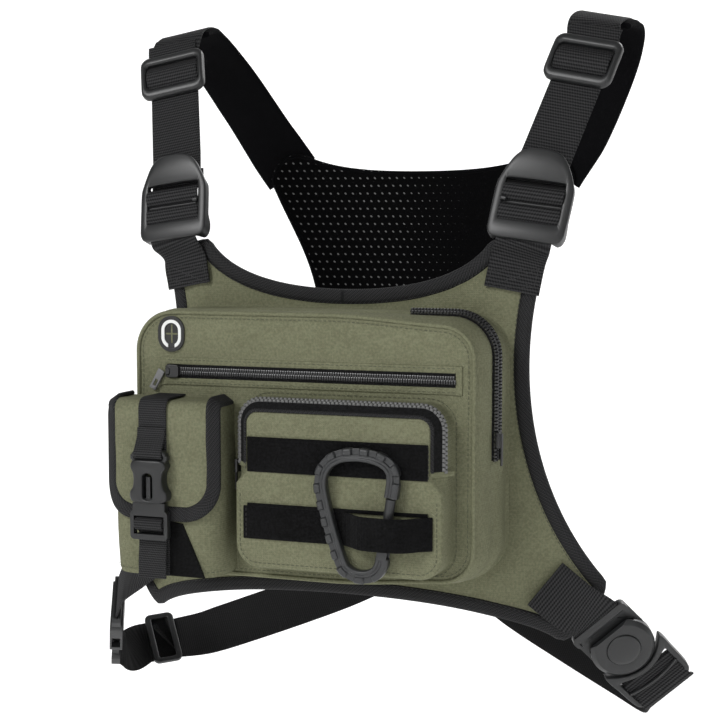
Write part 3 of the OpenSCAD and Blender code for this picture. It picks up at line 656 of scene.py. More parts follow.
def soft_box(name, cx, cz, w, h, r, rings, crown, seed):
    """A sewn box: walls through rings of (depth, outward swell, wrinkle), then a crowned face.

    A ring's depth may be a function of x, and its swell one of (x, z).
    """
    unit_ring = rounded(w, h, r)
    n = len(unit_ring)
    outward = []
    for i in range(n):
        ax, az = unit_ring[i - 1]
        bx, bz = unit_ring[(i + 1) % n]
        t = Vector((bx - ax, bz - az)).normalized()
        outward.append((-t.y, t.x))
    points = []
    for depth, swell, rough in rings:
        for (x, z), (ox, oz) in zip(unit_ring, outward):
            px, pz = cx + x, cz + z
            y = depth(px) if callable(depth) else depth
            puff = (swell(px, pz) if callable(swell) else swell) + rough * noise.noise(
                Vector((px * 0.035, y * 0.05 + seed, pz * 0.035)))
            points.append(vec(px + ox * puff, y, pz + oz * puff))
    rim = points[-n:]
    spine_x, spine_z = 1 - 0.95 * min(w, h) / w, 1 - 0.95 * min(w, h) / h
    for f in (0.985, 0.96, 0.92, 0.86, 0.78, 0.68, 0.56, 0.44, 0.3, 0.16, 0.0):
        for (x, z), p in zip(unit_ring, rim):
            px = p.x * f + (cx + x * spine_x) * (1 - f)
            pz = p.z * f + (cz + z * spine_z) * (1 - f)
            points.append(vec(px, p.y - crown(px, pz), pz))
    faces = grid_faces(len(points) // n, n, False, True)
    last = len(points) - n
    for i in range(n // 2 - 1):
        faces.append(tuple(last + k for k in (i, i + 1, n - 1 - i, (n - i) % n)))
    return mesh_from(name, points, faces)


def dome(x, z, cx, cz, w, h, high):
    """A shallow crown that dies away at a rectangle's edges."""
    u = max(0.0, 1 - (2 * abs(x - cx) / w) ** 4)
    v = max(0.0, 1 - (2 * abs(z - cz) / h) ** 4)
    return high * u * v


ZIP_Z = 3.0


def main_crown(x, z):
    fold = 0.55 * noise.noise(Vector((x * 0.02, 7.0, z * 0.09))) * min(1, max(0, (-z - 60) / 60))
    edge = min(1.0, max(0.0, -pocket_reach(x, z) / 14))
    zip_dip = 1.7 * edge * math.exp(-((z - ZIP_Z) / 12) ** 2)
    return (dome(x, z, POCKET_X, POCKET_Z, POCKET_W, POCKET_H, 1.2) - zip_dip
            + edge * (0.35 * ripple(x, z, 0.04, 2.0) + fold))


def main_face(x, z):
    return POCKET_Y - main_crown(x, z)


def outline_run(w, h, r, cx, cz, grow, y, start, end, step=2.0):
    """Points on a rounded rectangle, from start to end of its clockwise run from the top middle."""
    ring = [vec(cx + x, y, cz + z) for x, z in rounded(w + 2 * grow, h + 2 * grow, r + grow, 14, 20)]
    ring.append(ring[0].copy())
    run = [0.0]
    for a, b in zip(ring, ring[1:]):
        run.append(run[-1] + (b - a).length)
    out = []
    count = max(2, int((end - start) * run[-1] / step))
    for i in range(count + 1):
        s = ((start + (end - start) * i / count) % 1.0) * run[-1]
        k = max(j for j in range(len(ring) - 1) if run[j] <= s + 1e-9)
        out.append(ring[k].lerp(ring[k + 1], (s - run[k]) / max(run[k + 1] - run[k], 1e-9)))
    return out


def ring_normals(line):
    """Directions out of a clockwise run, one for each of its points."""
    out = []
    for i in range(len(line)):
        a, b = line[max(i - 1, 0)], line[min(i + 1, len(line) - 1)]
        t = (b - a).normalized()
        out.append(vec(-t.z, 0, t.x))
    return out


def main_line(grow, y):
    """The main pocket's front edge, grown outwards by grow."""
    line = outline_run(POCKET_W, POCKET_H, POCKET_R, POCKET_X, POCKET_Z, grow, y, 0, 1, 2.2)
    return [p - u * main_taper(p.x, p.z) for p, u in zip(line, ring_normals(line))]


def teeth(name, line, normals, across, pitch=1.75, wide=5.2, high=1.5, material=TEETH):
    """A zip's coil: small humps on each side of its middle line, meshing in turn."""
    points, faces = [], []
    profile = ((-0.36, 0), (-0.34, 0.7), (-0.2, 1), (0.2, 1), (0.34, 0.7), (0.36, 0))
    m = len(profile)
    run, next_at, index = 0.0, 0.0, 0
    for i, (a, b) in enumerate(zip(line, line[1:])):
        d = (b - a).length
        while d > 1e-6 and next_at <= run + d:
            spot = a.lerp(b, (next_at - run) / d)
            along = (b - a) / d
            up = Vector(normals[i]) if isinstance(normals, list) else Vector(normals)
            side = Vector(across) if across else along.cross(up).normalized()
            shift = (0.28 if index % 2 else -0.28) * wide
            base = len(points)
            for s in (-0.5, -0.32, 0.32, 0.5):
                edge = 0.55 if abs(s) == 0.5 else 1
                start = spot + along * s * pitch * 0.86
                points += [start + side * (shift + w * wide) + up * h * high * edge for w, h in profile]
            faces += grid_faces(4, m, base=base)
            faces.append(tuple(base + c for c in range(m - 1, -1, -1)))
            faces.append(tuple(base + 3 * m + c for c in range(m)))
            next_at += pitch / 2
            index += 1
        run += d
    return finish_piece(mesh_from(name, points, faces), material, "vest", (), 50)


def main_taper(px, pz):
    """How far the front edge is set in, on the zip's side."""
    t = min(1.0, max(0.0, (px - 10) / 100))
    return 6.0 * t * t * (3 - 2 * t)


def main_pocket():
    def tapered(swell, part):
        return lambda px, pz: swell - part * main_taper(px, pz)

    rings = [(lambda x: wrap(x) - 0.3, 1.6, 0.0), (lambda x: wrap(x) - 3, 0.2, 0.3), (-104, -0.1, 0.6),
             (-110, 0.7, 1.0), (-117, 1.1, 1.2), (-123, 0.8, 0.8), (-126.4, 0.1, 0.2), (-127.4, -0.7, 0.0),
             (-131, -0.8, 0.0), (-134.6, tapered(-0.7, 0.15), 0.0), (-135.6, tapered(0.1, 0.2), 0.2),
             (-140, tapered(0.9, 0.4), 0.8), (-147, tapered(1.1, 0.65), 1.0), (-153, tapered(0.6, 0.85), 0.6),
             (-156.4, tapered(-0.2, 0.96), 0.0), (-158.0, tapered(-1.6, 1.0), 0.0)]
    body = soft_box("main_pocket_shell", POCKET_X, POCKET_Z, POCKET_W, POCKET_H, POCKET_R, rings,
                    lambda x, z: 0.4 + main_crown(x, z), 1.0)
    finish_piece(body, OLIVE, "vest",
                 ("main_pocket_front", "main_gusset_front", "main_gusset_rear", "front_zip_bag"), 55)
    piping = main_line(-0.9, POCKET_Y - 0.2)[:-1]
    tube = [(1.5 * math.cos(a * math.pi / 5), 1.5 * math.sin(a * math.pi / 5)) for a in range(10)]
    obj = sweep("main_pocket_edge_piping", piping, FRONT, tube, closed=True)
    finish_piece(obj, OLIVE, "vest", ("main_pocket_piping",), 180)
    seam = [vec(p.x, main_face(p.x, p.z) - 0.75, p.z) for p in main_line(-4.6, 0)]
    stitches("main_pocket_stitch", seam, FRONT, "vest")

    # the zip round the top right corner, in the gusset's band
    line = outline_run(POCKET_W, POCKET_H, POCKET_R, POCKET_X, POCKET_Z, 0, -131, 0.082, 0.257, 1.2)
    ups = ring_normals(line)
    tilt = [(u * 0.85 + FRONT * 0.53).normalized() for u in ups]
    base = [p + u * 0.9 for p, u in zip(line, ups)]
    tape = sweep("main_zip_tape", base, [FRONT * 0.85 - u * 0.53 for u in ups], section(9.4, 1.2, 4, 2))
    finish_piece(tape, ZIP_TAPE, "vest", ("main_zipper_chain",))
    teeth("main_zip_coil", [p + t * 0.5 for p, t in zip(base, tilt)], tilt, None, pitch=2.3, high=1.4)
    for depth, label in ((-136.4, "front"), (-125.6, "rear")):
        row = [vec(p.x, depth, p.z) + u * 1.0 for p, u in zip(line, ups)]
        stitches("main_zip_stitch_" + label, row, ups, "vest")


def front_zip():
    x0, x1 = -111.0, 99.5
    xs = [x0 + (x1 - x0) * i / 90 for i in range(91)]
    line = [vec(x, main_face(x, ZIP_Z) - 0.5, ZIP_Z) for x in xs]
    tape = sweep("front_zip_tape", line, vec(0, 0, 1), section(10.6, 1.0, 4, 2))
    finish_piece(tape, ZIP_TAPE, "vest", ("front_zip_chain",))
    teeth("front_zip_coil", [p + FRONT * 0.5 for p in line], FRONT, UP, wide=4.6, high=1.2)
    for sign, label in ((1, "upper"), (-1, "lower")):
        lip = [vec(x, main_face(x, ZIP_Z + sign * 7.4) - 0.4, ZIP_Z + sign * 7.2) for x in xs]
        obj = sweep("front_zip_lip_" + label, lip, vec(0, 0, 1), section(5.0, 1.6, 4, 4))
        finish_piece(obj, OLIVE, "vest")
        row = [vec(p.x, p.y - 0.8, p.z + sign * 0.7) for p in lip]
        stitches("front_zip_stitch_" + label, row, FRONT, "vest")
    for x, label in ((x0 - 2.2, "left"), (x1 + 2.2, "right")):
        end = [vec(x, main_face(x, z) - 0.3, z) for z in (ZIP_Z - 9.6, ZIP_Z, ZIP_Z + 9.6)]
        obj = sweep("front_zip_end_" + label, even_line(end, 2), vec(1, 0, 0), section(5.0, 2.0, 4, 4))
        finish_piece(obj, OLIVE, "vest")


def small_crown(x, z):
    return dome(x, z, SMALL_X, SMALL_Z, SMALL_W, SMALL_H, 0.9) + 0.3 * ripple(x, z, 0.05, 4.0)


def small_face(x, z):
    return SMALL_Y - small_crown(x, z)


def small_chamfer(px, pz):
    """1 where the zip turns the pocket's front edge, 0 below it."""
    t = min(1.0, max(0.0, (pz + 66.5) / 3))
    return t * t * (3 - 2 * t)


def small_pocket():
    def edge(low, high):
        return lambda px, pz: low + (high - low) * small_chamfer(px, pz)

    rings = [(-158.0, 2.4, 0.0), (-159.4, 0.8, 0.0), (-162, 0.3, 0.6), (-166, 0.4, 0.5), (-170, 0.4, 0.3),
             (-173.2, edge(0.3, 0.2), 0.0), (-174.2, edge(0.4, -0.6), 0.0), (-178.0, edge(0.4, -4.1), 0.0),
             (-181.0, edge(0.3, -6.7), 0.0), (-182.4, edge(-0.4, -7.9), 0.0), (-183.0, edge(-1.5, -8.7), 0.0)]
    body = soft_box("small_pocket_shell", SMALL_X, SMALL_Z, SMALL_W, SMALL_H, SMALL_R, rings,
                    small_crown, 6.0)
    finish_piece(body, OLIVE, "vest", ("small_pocket_front", "small_pocket_gusset"), 55)
    seam = outline_run(SMALL_W, SMALL_H, SMALL_R, SMALL_X, SMALL_Z, -3.4, 0, 0.26, 0.74)
    stitches("small_pocket_stitch", [vec(p.x, small_face(p.x, p.z) - 0.3, p.z) for p in seam], FRONT, "vest")
    flange = outline_run(SMALL_W, SMALL_H, SMALL_R, SMALL_X, SMALL_Z, 2.6, 0, 0, 1)
    row = [vec(p.x, main_face(p.x, p.z) - 0.6, p.z) for p in flange if p.x > -57]
    stitches("small_pocket_flange_stitch", row, FRONT, "vest")

    # black tape that turns the front edge over the top and both upper sides, its coil along the rear
    line = outline_run(SMALL_W, SMALL_H, SMALL_R, SMALL_X, SMALL_Z, 0, 0, -0.222, 0.222, 1.2)
    ups = ring_normals(line)

    def on_band(p, u, along, lift=0.0):
        """A spot on the tape: along runs from 0 at its rear edge to 1 at its front edge."""
        inward, y = 0.1 + 7.6 * along, -173.8 - 8.6 * along
        return vec(p.x, y, p.z) - u * inward + (u * 0.75 + FRONT * 0.66) * lift

    tilt = [(u * 0.75 + FRONT * 0.66).normalized() for u in ups]
    across = [(FRONT * 0.75 - u * 0.66).normalized() for u in ups]
    tape = sweep("small_zip_tape_band", [on_band(p, u, 0.5, 0.5) for p, u in zip(line, ups)], across,
                 section(11.6, 1.3, 6, 3))
    finish_piece(tape, ZIP_TAPE, "vest", ("small_zip_chain",))
    coil = [on_band(p, u, 0.16, 0.9) for p, u in zip(line, ups)]
    teeth("small_zip_coil", coil, tilt, None, pitch=3.0, wide=3.0, high=1.6, material=BRIGHT_TEETH)
    lip = sweep("small_zip_front_lip", [on_band(p, u, 0.97, 0.7) for p, u in zip(line, ups)], across,
                section(2.6, 1.8, 2, 3))
    finish_piece(lip, TAPE, "vest")
    for i, label in ((0, "left"), (-1, "right")):
        p, u = line[i], ups[i]
        cap = [on_band(p, u, t, 0.4) - vec(0, 0, 1.0) for t in (-0.5, 0, 0.5, 1.08)]
        obj = sweep("small_zip_stop_" + label, even_line(cap, 2), vec(0, 0, 1), section(4.0, 1.9, 2, 3))
        finish_piece(obj, OLIVE, "vest")


def loop_straps():
    half = SMALL_W / 2 - 9.4
    xs = [SMALL_X - half + 2 * half * i / 30 for i in range(31)]
    line = [vec(x, small_face(x, -49.5) - 0.55, -49.5) for x in xs]
    strap("loop_strap_upper_brushed", line, UP, 22.0, 1.7, LOOP, "vest",
          ("loop_strap_upper",), rib=0, soft=0.15)
    low = -95.0
    left, right = SMALL_X - half - 3, SMALL_X + half + 3
    front = SMALL_Y - 1.6 - 1.2 - 8.0 - 5.0 - 0.8
    route = [(left, -0.8), (left + 20, -0.9), (14, -0.9), (24, -0.9), (32, -2.2), (39, -7.8), (46, -13.4),
             (55, -15.4), (71, -15.2), (79, -11.0), (85, -4.8), (91, -1.0), (right, -0.8)]
    line = []
    for x, off in route:
        y = SMALL_Y - 0.4 + off if off > -4 else SMALL_Y + off
        line.append(vec(x, max(y, front), low))
    line[0].y = small_face(left, low) - 0.5
    line[-1].y = small_face(right, low) - 0.5
    strap("loop_strap_lower_brushed", line, UP, 22.4, 1.7, LOOP, "vest",
          ("loop_strap_lower",), rib=0, soft=0.3)
    for z, label in ((-49.5, "upper"), (low, "lower")):
        for x, side in ((left + 2.2, "left"), (right - 2.2, "right")):
            row = [vec(x, small_face(x, z) - 1.9, z - 10 + i) for i in range(21)]
            stitches("loop_stitch_" + label + "_" + side, row, FRONT, "vest", DARK_THREAD)
    for z, label in ((-38.0, "upper"), (-83.0, "lower")):
        row = [vec(x, small_face(x, z) - 0.9, z) for x in xs]
        obj = sweep("loop_strap_welt_" + label, row, vec(0, 0, 1), section(2.6, 1.6, 2, 3))
        finish_piece(obj, LOOP, "vest")


# ---------------------------------------------------------------- carabiner
CARA_Y = SMALL_Y - 1.6 - 1.2 - 4.0
LEG_TOP, LEG_LOW = (67.0, -62.0), (59.0, -116.0)
GATE_AT, GATE_LONG = 10.0, 34.0


def leg_at(s):
    d = Vector((LEG_TOP[0] - LEG_LOW[0], LEG_TOP[1] - LEG_LOW[1])).normalized()
    return (LEG_LOW[0] + s * d.x, LEG_LOW[1] + s * d.y)


def carabiner():
    route = ([leg_at(GATE_AT + GATE_LONG + 0.8), leg_at(50), LEG_TOP]
             + bezier(LEG_TOP, (70, -46), (50, -44.5), (42, -44.5), 6, 1)
             + bezier((42, -44.5), (26, -44.5), (15, -52), (17, -68), 6, 1)
             + bezier((17, -68), (20, -84), (26, -104), (32, -118), 4, 1)
             + bezier((32, -118), (37, -127), (55, -128), LEG_LOW, 6, 1)
             + [leg_at(4), leg_at(GATE_AT - 5.5)])
    line = even_line([vec(x, CARA_Y, z) for x, z in route], 0.8)
    # across is positive towards the outside of the ring; up is along -Y or +Y
    half = [(-4.2, 2.4), (-3.4, 3.3), (-1.9, 3.3), (-1.3, 2.5), (0.1, 2.5), (0.5, 3.5), (3.6, 3.5),
            (4.7, 2.6)]
    under = [(x, -y) for x, y in reversed(half)]
    ring = under[-1:] + half + under[:-1]
    total = len(line)

    def notch(i, s, q):
        x, y = q
        phase = (s - 9.0) % 11.2
        if 12 < i < total - 14 and phase < 5.6 and x > 0.3:
            return min(x, 4.4), math.copysign(min(abs(y), 1.3), y)
        return x, y

    sides = []
    for i, p in enumerate(line):
        a, b = line[max(i - 1, 0)], line[min(i + 1, total - 1)]
        t = (b - a).normalized()
        sides.append(vec(t.z, 0, -t.x))
    middle = vec(42, CARA_Y, -84)
    flip = -1 if sum((p - middle).dot(s) for p, s in zip(line, sides)) < 0 else 1
    sides = [s * flip for s in sides]
    body = sweep("carabiner_notched_ring", line, sides, ring, shape=notch)
    round_edges(body, 0.35, 2, 35)
    finish_piece(body, CARABINER, "carabiner", ("carabiner_body",), 30)
    heel, knuckle = leg_at(GATE_AT - 6.5), leg_at(GATE_AT + 2.4)
    for depth, label in ((-3.0, "front"), (3.0, "rear")):
        path = [vec(heel[0], CARA_Y + depth, heel[1]).lerp(vec(knuckle[0], CARA_Y + depth, knuckle[1]), i / 3)
                for i in range(4)]
        cheek = sweep("carabiner_cheek_" + label, path, vec(1, 0, 0.1), section(7.2, 1.3, 3, 4))
        finish_piece(cheek, CARABINER, "carabiner", (), 50)
    soften("carabiner_gate", "carabiner_gate", CARABINER, 0.6)
    NODES["carabiner_pin"].data.materials.clear()
    NODES["carabiner_pin"].data.materials.append(STEEL)


# ---------------------------------------------------------------- pouch
FLAP_OUT = POCKET_Y - POUCH_D - 3.8
FLAP_TOP = -14.75 + 1.2
FLAP_HINGE_Y = -166.0


def pouch_body():
    """A sewn tube round a D-shaped plan, fuller at mid height, closed below."""
    heights = [-135.0, -134.2, -132, -126, -116, -104, -90, -76, -62, -48, -36, -26, -20, POUCH_Z1]
    plan = []
    half, r, depth = POUCH_W / 2, POUCH_R, POUCH_D
    plan += [(-half, -i * (depth - r) / 5) for i in range(5)]
    plan += [(-half + r - r * math.cos(a * math.pi / 16), -(depth - r) - r * math.sin(a * math.pi / 16))
             for a in range(8)]
    plan += [(-half + r + (2 * half - 2 * r) * i / 12, -depth) for i in range(12)]
    plan += [(half - r + r * math.sin(a * math.pi / 16), -(depth - r) - r * math.cos(a * math.pi / 16))
             for a in range(8)]
    plan += [(half, -(depth - r) + i * (depth - r) / 5) for i in range(6)]
    m = len(plan)
    points = []
    for z in heights:
        t = (z - POUCH_Z0) / (POUCH_Z1 - POUCH_Z0)
        pull = 0.965 + 0.035 * math.sin(math.pi * min(1, t * 1.15)) if t > 0.01 else 0.95
        for x, y in plan:
            sag = 1.3 * math.sin(math.pi * t) * noise.noise(Vector((x * 0.05, y * 0.05, z * 0.03)))
            k = pull + sag / 60
            points.append(vec(POUCH_X + x * k, POCKET_Y + 0.3 + y * (k + 0.004), z))
    faces = grid_faces(len(heights), m) + [tuple(range(m - 1, -1, -1))]
    body = mesh_from("pouch_shell", points, faces)
    solid = body.modifiers.new("cloth", "SOLIDIFY")
    solid.thickness = 2.0 * MM
    solid.offset = -1
    bpy.context.view_layer.update()
    evaluated(body)
    finish_piece(body, OLIVE, "vest", ("pouch_body", "pouch_flap_hem"), 60)
    row = [vec(POUCH_X + x * 0.985, POCKET_Y + 0.3 + y * 0.99 - 0.4, -131) for x, y in plan]
    stitches("pouch_foot_stitch", row, FRONT, "vest")


def flap_spot(u, v, out=0.0):
    """A point on the flap: u across, v from the hinge over the top edge and down the front."""
    flat, r = 24.0, 20.8
    a = max(0.0, abs(u) - flat) / r
    side = math.copysign(1, u)
    x = abs(u) if a == 0 else flat + (r + out) * math.sin(a)
    back = 0.0 if a == 0 else r * (1 - math.cos(a))
    bend = 6.0
    top_run = FLAP_HINGE_Y - (FLAP_OUT + 1.2) - bend
    if v < top_run:
        y, z = FLAP_HINGE_Y - v, FLAP_TOP - 1.2
        lift = vec(0, 0, out)
    elif v < top_run + bend * math.pi / 2:
        b = (v - top_run) / bend
        y = FLAP_HINGE_Y - top_run - bend * math.sin(b)
        z = FLAP_TOP - 1.2 - bend * (1 - math.cos(b))
        lift = vec(0, -out * math.sin(b), out * math.cos(b))
    else:
        y = FLAP_OUT + 1.2
        z = FLAP_TOP - 1.2 - bend - (v - top_run - bend * math.pi / 2)
        lift = vec(0, -out, 0)
    blend_back = back * min(1.0, max(0.0, v / 20.0))
    return vec(POUCH_X + side * x, y + blend_back, z) + lift


FLAP_TALL = 34.2 - 6.0 - 1.2 + 3.0 + 6.0 * math.pi / 2 + 68.0
FLAP_WIDE = 44.0


def flap_half_width(v, edge=0.0):
    r = 26.0 - edge
    low = FLAP_TALL - edge
    w = FLAP_WIDE - edge
    if v < low - r:
        return w
    d = min(v - (low - r), r)
    return w - r + math.sqrt(max(r * r - d * d, 0.0))


def flap_piece(name, edge, thick, rows=46, columns=24):
    top, under = [], []
    low = FLAP_TALL - edge
    for i in range(rows + 1):
        v = min(low * i / rows, low - 0.02)
        w = max(flap_half_width(v, edge), 0.5)
        us = [w * (2 * j / columns - 1) for j in range(columns + 1)]
        top.append([flap_spot(u, v, thick / 2 + 0.5 * ripple(u, v, 0.05, 11.0)) for u in us])
        under.append([flap_spot(u, v, -thick / 2) for u in us])
    points = [p for row in top for p in row] + [p for row in under for p in row]
    m, size = columns + 1, (rows + 1) * (columns + 1)
    faces = grid_faces(rows + 1, m) + grid_faces(rows + 1, m, flip=True, base=size)
    rim = ([j for j in range(m)] + [i * m + columns for i in range(1, rows + 1)]
           + [rows * m + j for j in range(columns - 1, -1, -1)] + [i * m for i in range(rows - 1, 0, -1)])
    for a, b in zip(rim, rim[1:] + rim[:1]):
        faces.append((a, size + a, size + b, b))
    return mesh_from(name, points, faces)


def pouch_flap():
    cloth_piece = flap_piece("pouch_flap_cloth", 3.0, 2.2)
    finish_piece(cloth_piece, OLIVE, "pouch_flap", ("pouch_flap",), 60)
    # tape down both sides and round the lower corners
    steps = 60
    left = []
    for i in range(steps + 1):
        v = 1.0 + (FLAP_TALL - 26.0 - 5.0 - 1.0) * i / steps
        left.append((-FLAP_WIDE + 5.0, v))
    r = 21.0
    for i in range(1, 25):
        a = math.pi / 2 * i / 24
        left.append((-FLAP_WIDE + 5.0 + r - r * math.cos(a), FLAP_TALL - 5.0 - r + r * math.sin(a)))
    route = left + [(-u, v) for u, v in reversed(left)]
    line = [flap_spot(u, v, 0.4) for u, v in route]
    line = even_line(line, 1.6)
    sides = []
    n = len(line)
    outs = even_line([flap_spot(u, v, 5.0) for u, v in route], 1.6)
    for i in range(n):
        along = (line[min(i + 1, n - 1)] - line[max(i - 1, 0)]).normalized()
        k = min(round(i * (len(outs) - 1) / (n - 1)), len(outs) - 1)
        up = (outs[k] - line[i]).normalized()
        sides.append(up.cross(along))
    tape = sweep("pouch_flap_tape", line, sides, section(10.4, 3.4, 6, 4))
    finish_piece(tape, TAPE, "pouch_flap", ("pouch_flap_binding",), 60)


BUCKLE_X, BUCKLE_Y, BUCKLE_Z = -103.0, FLAP_OUT - 5.6, -66.0


def pouch_webbing():
    """The flap's webbing and half buckle, the pouch's half with its tail, and the webbing sewn below."""
    out, top = FLAP_OUT, FLAP_TOP
    over = [(FLAP_HINGE_Y - 1, top + 1), (out + 12, top + 1), (out + 5, top + 0.8), (out + 1.2, top - 0.8),
            (out - 0.9, top - 5), (out - 1.1, top - 12)]
    fold = [(-1.1, 17.5), (-2.2, 14), (-5.6, 12.9), (-8.3, 14.6), (-8.6, 18), (-6.6, 22), (-3.4, 28),
            (-2.7, 34)]
    route = [vec(BUCKLE_X, y, z) for y, z in over + [(out + y, BUCKLE_Z + z) for y, z in fold]]
    strap("flap_webbing", route, ACROSS, NARROW_W, NARROW_T, FINE_WEB, "pouch_flap",
          ("flap_web",), rib=1.6, depth=0.1)

    def at_buckle(a, b, depth):
        return vec(BUCKLE_X + a, BUCKLE_Y - depth, BUCKLE_Z + b)

    outer = [(0, 12.6), (7, 12.6), (11.6, 11.6), (13.2, 8), (11.2, 4), (10.6, -1), (11.4, -6), (13.7, -9.6),
             (13.6, -13.6), (11, -16), (0, -16.4)]
    slot = [(0, 3.6), (1.8, 3.2), (3.3, 2), (3.7, 0), (3.7, -3), (3.7, -5), (3.7, -8), (3.7, -11), (3.3, -13),
            (1.8, -14.2), (0, -14.5)]
    obj = ring_piece("female_buckle_body", outer, slot,
                     lambda a, b: 5.0 - 1.2 * (a / 13) ** 2, lambda a, b: -4.2, at_buckle, 1.2)
    finish_piece(obj, PLASTIC, "pouch_flap", ("pouch_buckle_female",), 50)
    loop = glide_frame("female_buckle_loop", lambda a, b, d: at_buckle(a, b + 14.2, d),
                       13.9, 6.2, 10.9, 2.0, 2.6, -2.4, 1.4)
    finish_piece(loop, PLASTIC, "pouch_flap", (), 50)
    soften("pouch_buckle_male", "pouch_buckle_male", PLASTIC, 0.6)
    tail = [(3.8, -23.6), (3.4, -26.3), (0.4, -27.3), (-2.6, -28.3), (-3.9, -30), (-4.0, -32.6),
            (-2.6, -34.3), (0, -35.4), (2.6, -36.6), (3.8, -39.5), (3.6, -46), (2.6, -56), (2.2, -69)]
    route = [at_buckle(0, z, -y) for y, z in tail]
    strap("buckle_tail_webbing", route, ACROSS, NARROW_W, NARROW_T, FINE_WEB, "pouch_buckle_male",
          ("buckle_tail",), rib=1.6, depth=0.1)
    front = POCKET_Y - POUCH_D
    foot = [(-1.0, -134), (-1.2, -120), (-1.6, -106), (-1.9, -95)]
    strap("pouch_foot_webbing", [vec(BUCKLE_X, front + y, z) for y, z in foot], ACROSS, NARROW_W, WEB_T,
          FINE_WEB, "vest", ("pouch_web",), rib=1.6, depth=0.1)
    patch = [(POUCH_X + 3, -134), (POUCH_X + 32, -134), (POUCH_X + 16, -98), (POUCH_X + 3, -96)]
    obj = sheet_solid("pouch_side_patch_cloth", patch, lambda x, z: front - 1.3, lambda x, z: front + 0.6,
                      7.0)
    finish_piece(obj, LOOP, "vest", ("pouch_side_patch",))


# ---------------------------------------------------------------- shoulder straps
PIVOT = vec(131.5, -100.6, 98)
LOCK_UP = unit(9.3, 24, 67)
LOCK_SIDE = unit(0.99, 0.03, -0.13)
LOCK_BACK = LOCK_UP.cross(LOCK_SIDE)
GLIDE_AT = vec(158.5, -47.5, 217)
GLIDE_UP = unit(21, 37, 75)
STRAP_SIDE = unit(0.97, -0.14, -0.2)
GLIDE_BACK = GLIDE_UP.cross(STRAP_SIDE)


def mirror_x(points):
    return [vec(-p.x, p.y, p.z) for p in points]


def lock_spots(*pairs):
    return [PIVOT + y * LOCK_BACK + z * LOCK_UP for y, z in pairs]


def glide_spots(*pairs):
    return [GLIDE_AT + y * GLIDE_BACK + z * GLIDE_UP for y, z in pairs]


LOCK_OUTER = [(0, 59.6), (7, 59.2), (13.5, 57), (18.5, 52), (22.4, 45), (25.2, 38.5), (26.8, 32), (27, 18),
              (26.8, 5), (26.4, -0.5), (24, -4.6), (18, -6), (0, -6)]
LOCK_INNER = [(0, 37.2), (9, 37.2), (18, 37.0), (20.2, 36.6), (20.7, 35.4), (20.7, 32), (20.7, 28),
              (20.7, 18), (20.7, 10), (20.6, 8.6), (19.6, 7.6), (12, 7.3), (0, 7.3)]


def smooth_step(t):
    t = min(1.0, max(0.0, t))
    return t * t * (3 - 2 * t)


def lock_frame(name, place):
    """The ladder lock: thumb tab, side rails that deepen to the pivot and a thick apron."""
    def front(a, b):
        return 8.4 - 1.3 * (a / 27) ** 2 + 1.2 * smooth_step((b - 40) / 18)

    def back(a, b):
        tab = smooth_step((b - 33) / 6)
        rail = smooth_step((12 - b) / 8) * smooth_step((abs(a) - 19) / 4)
        apron = smooth_step((6 - b) / 3) * (1 - smooth_step((abs(a) - 19) / 4))
        return 1.6 + 3.8 * tab - 3.6 * rail + 4.2 * apron

    return ring_piece(name, LOCK_OUTER, LOCK_INNER, front, back, place, 1.3)


def rounded_half(w, h, r):
    """The right half of a rounded rectangle, from top to bottom."""
    turns = [math.radians(a) for a in (30, 60, 90)]
    out = [(0, h), (w * 0.5, h), (w - r, h)]
    out += [(w - r + r * math.sin(a), h - r + r * math.cos(a)) for a in turns]
    out += [(w, 0)]
    return out + [(x, -z) for x, z in reversed(out[:-1])]


def glide_frame(name, place, half_w, half_h, window_w, window_h, front, back, edge):
    """A rounded frame round one window."""
    outer, inner = rounded_half(half_w, half_h, 7.5), rounded_half(window_w, window_h, 3.2)
    return ring_piece(name, outer, inner, lambda a, b: front - 0.02 * b * b / 6, lambda a, b: back, place,
                      edge)


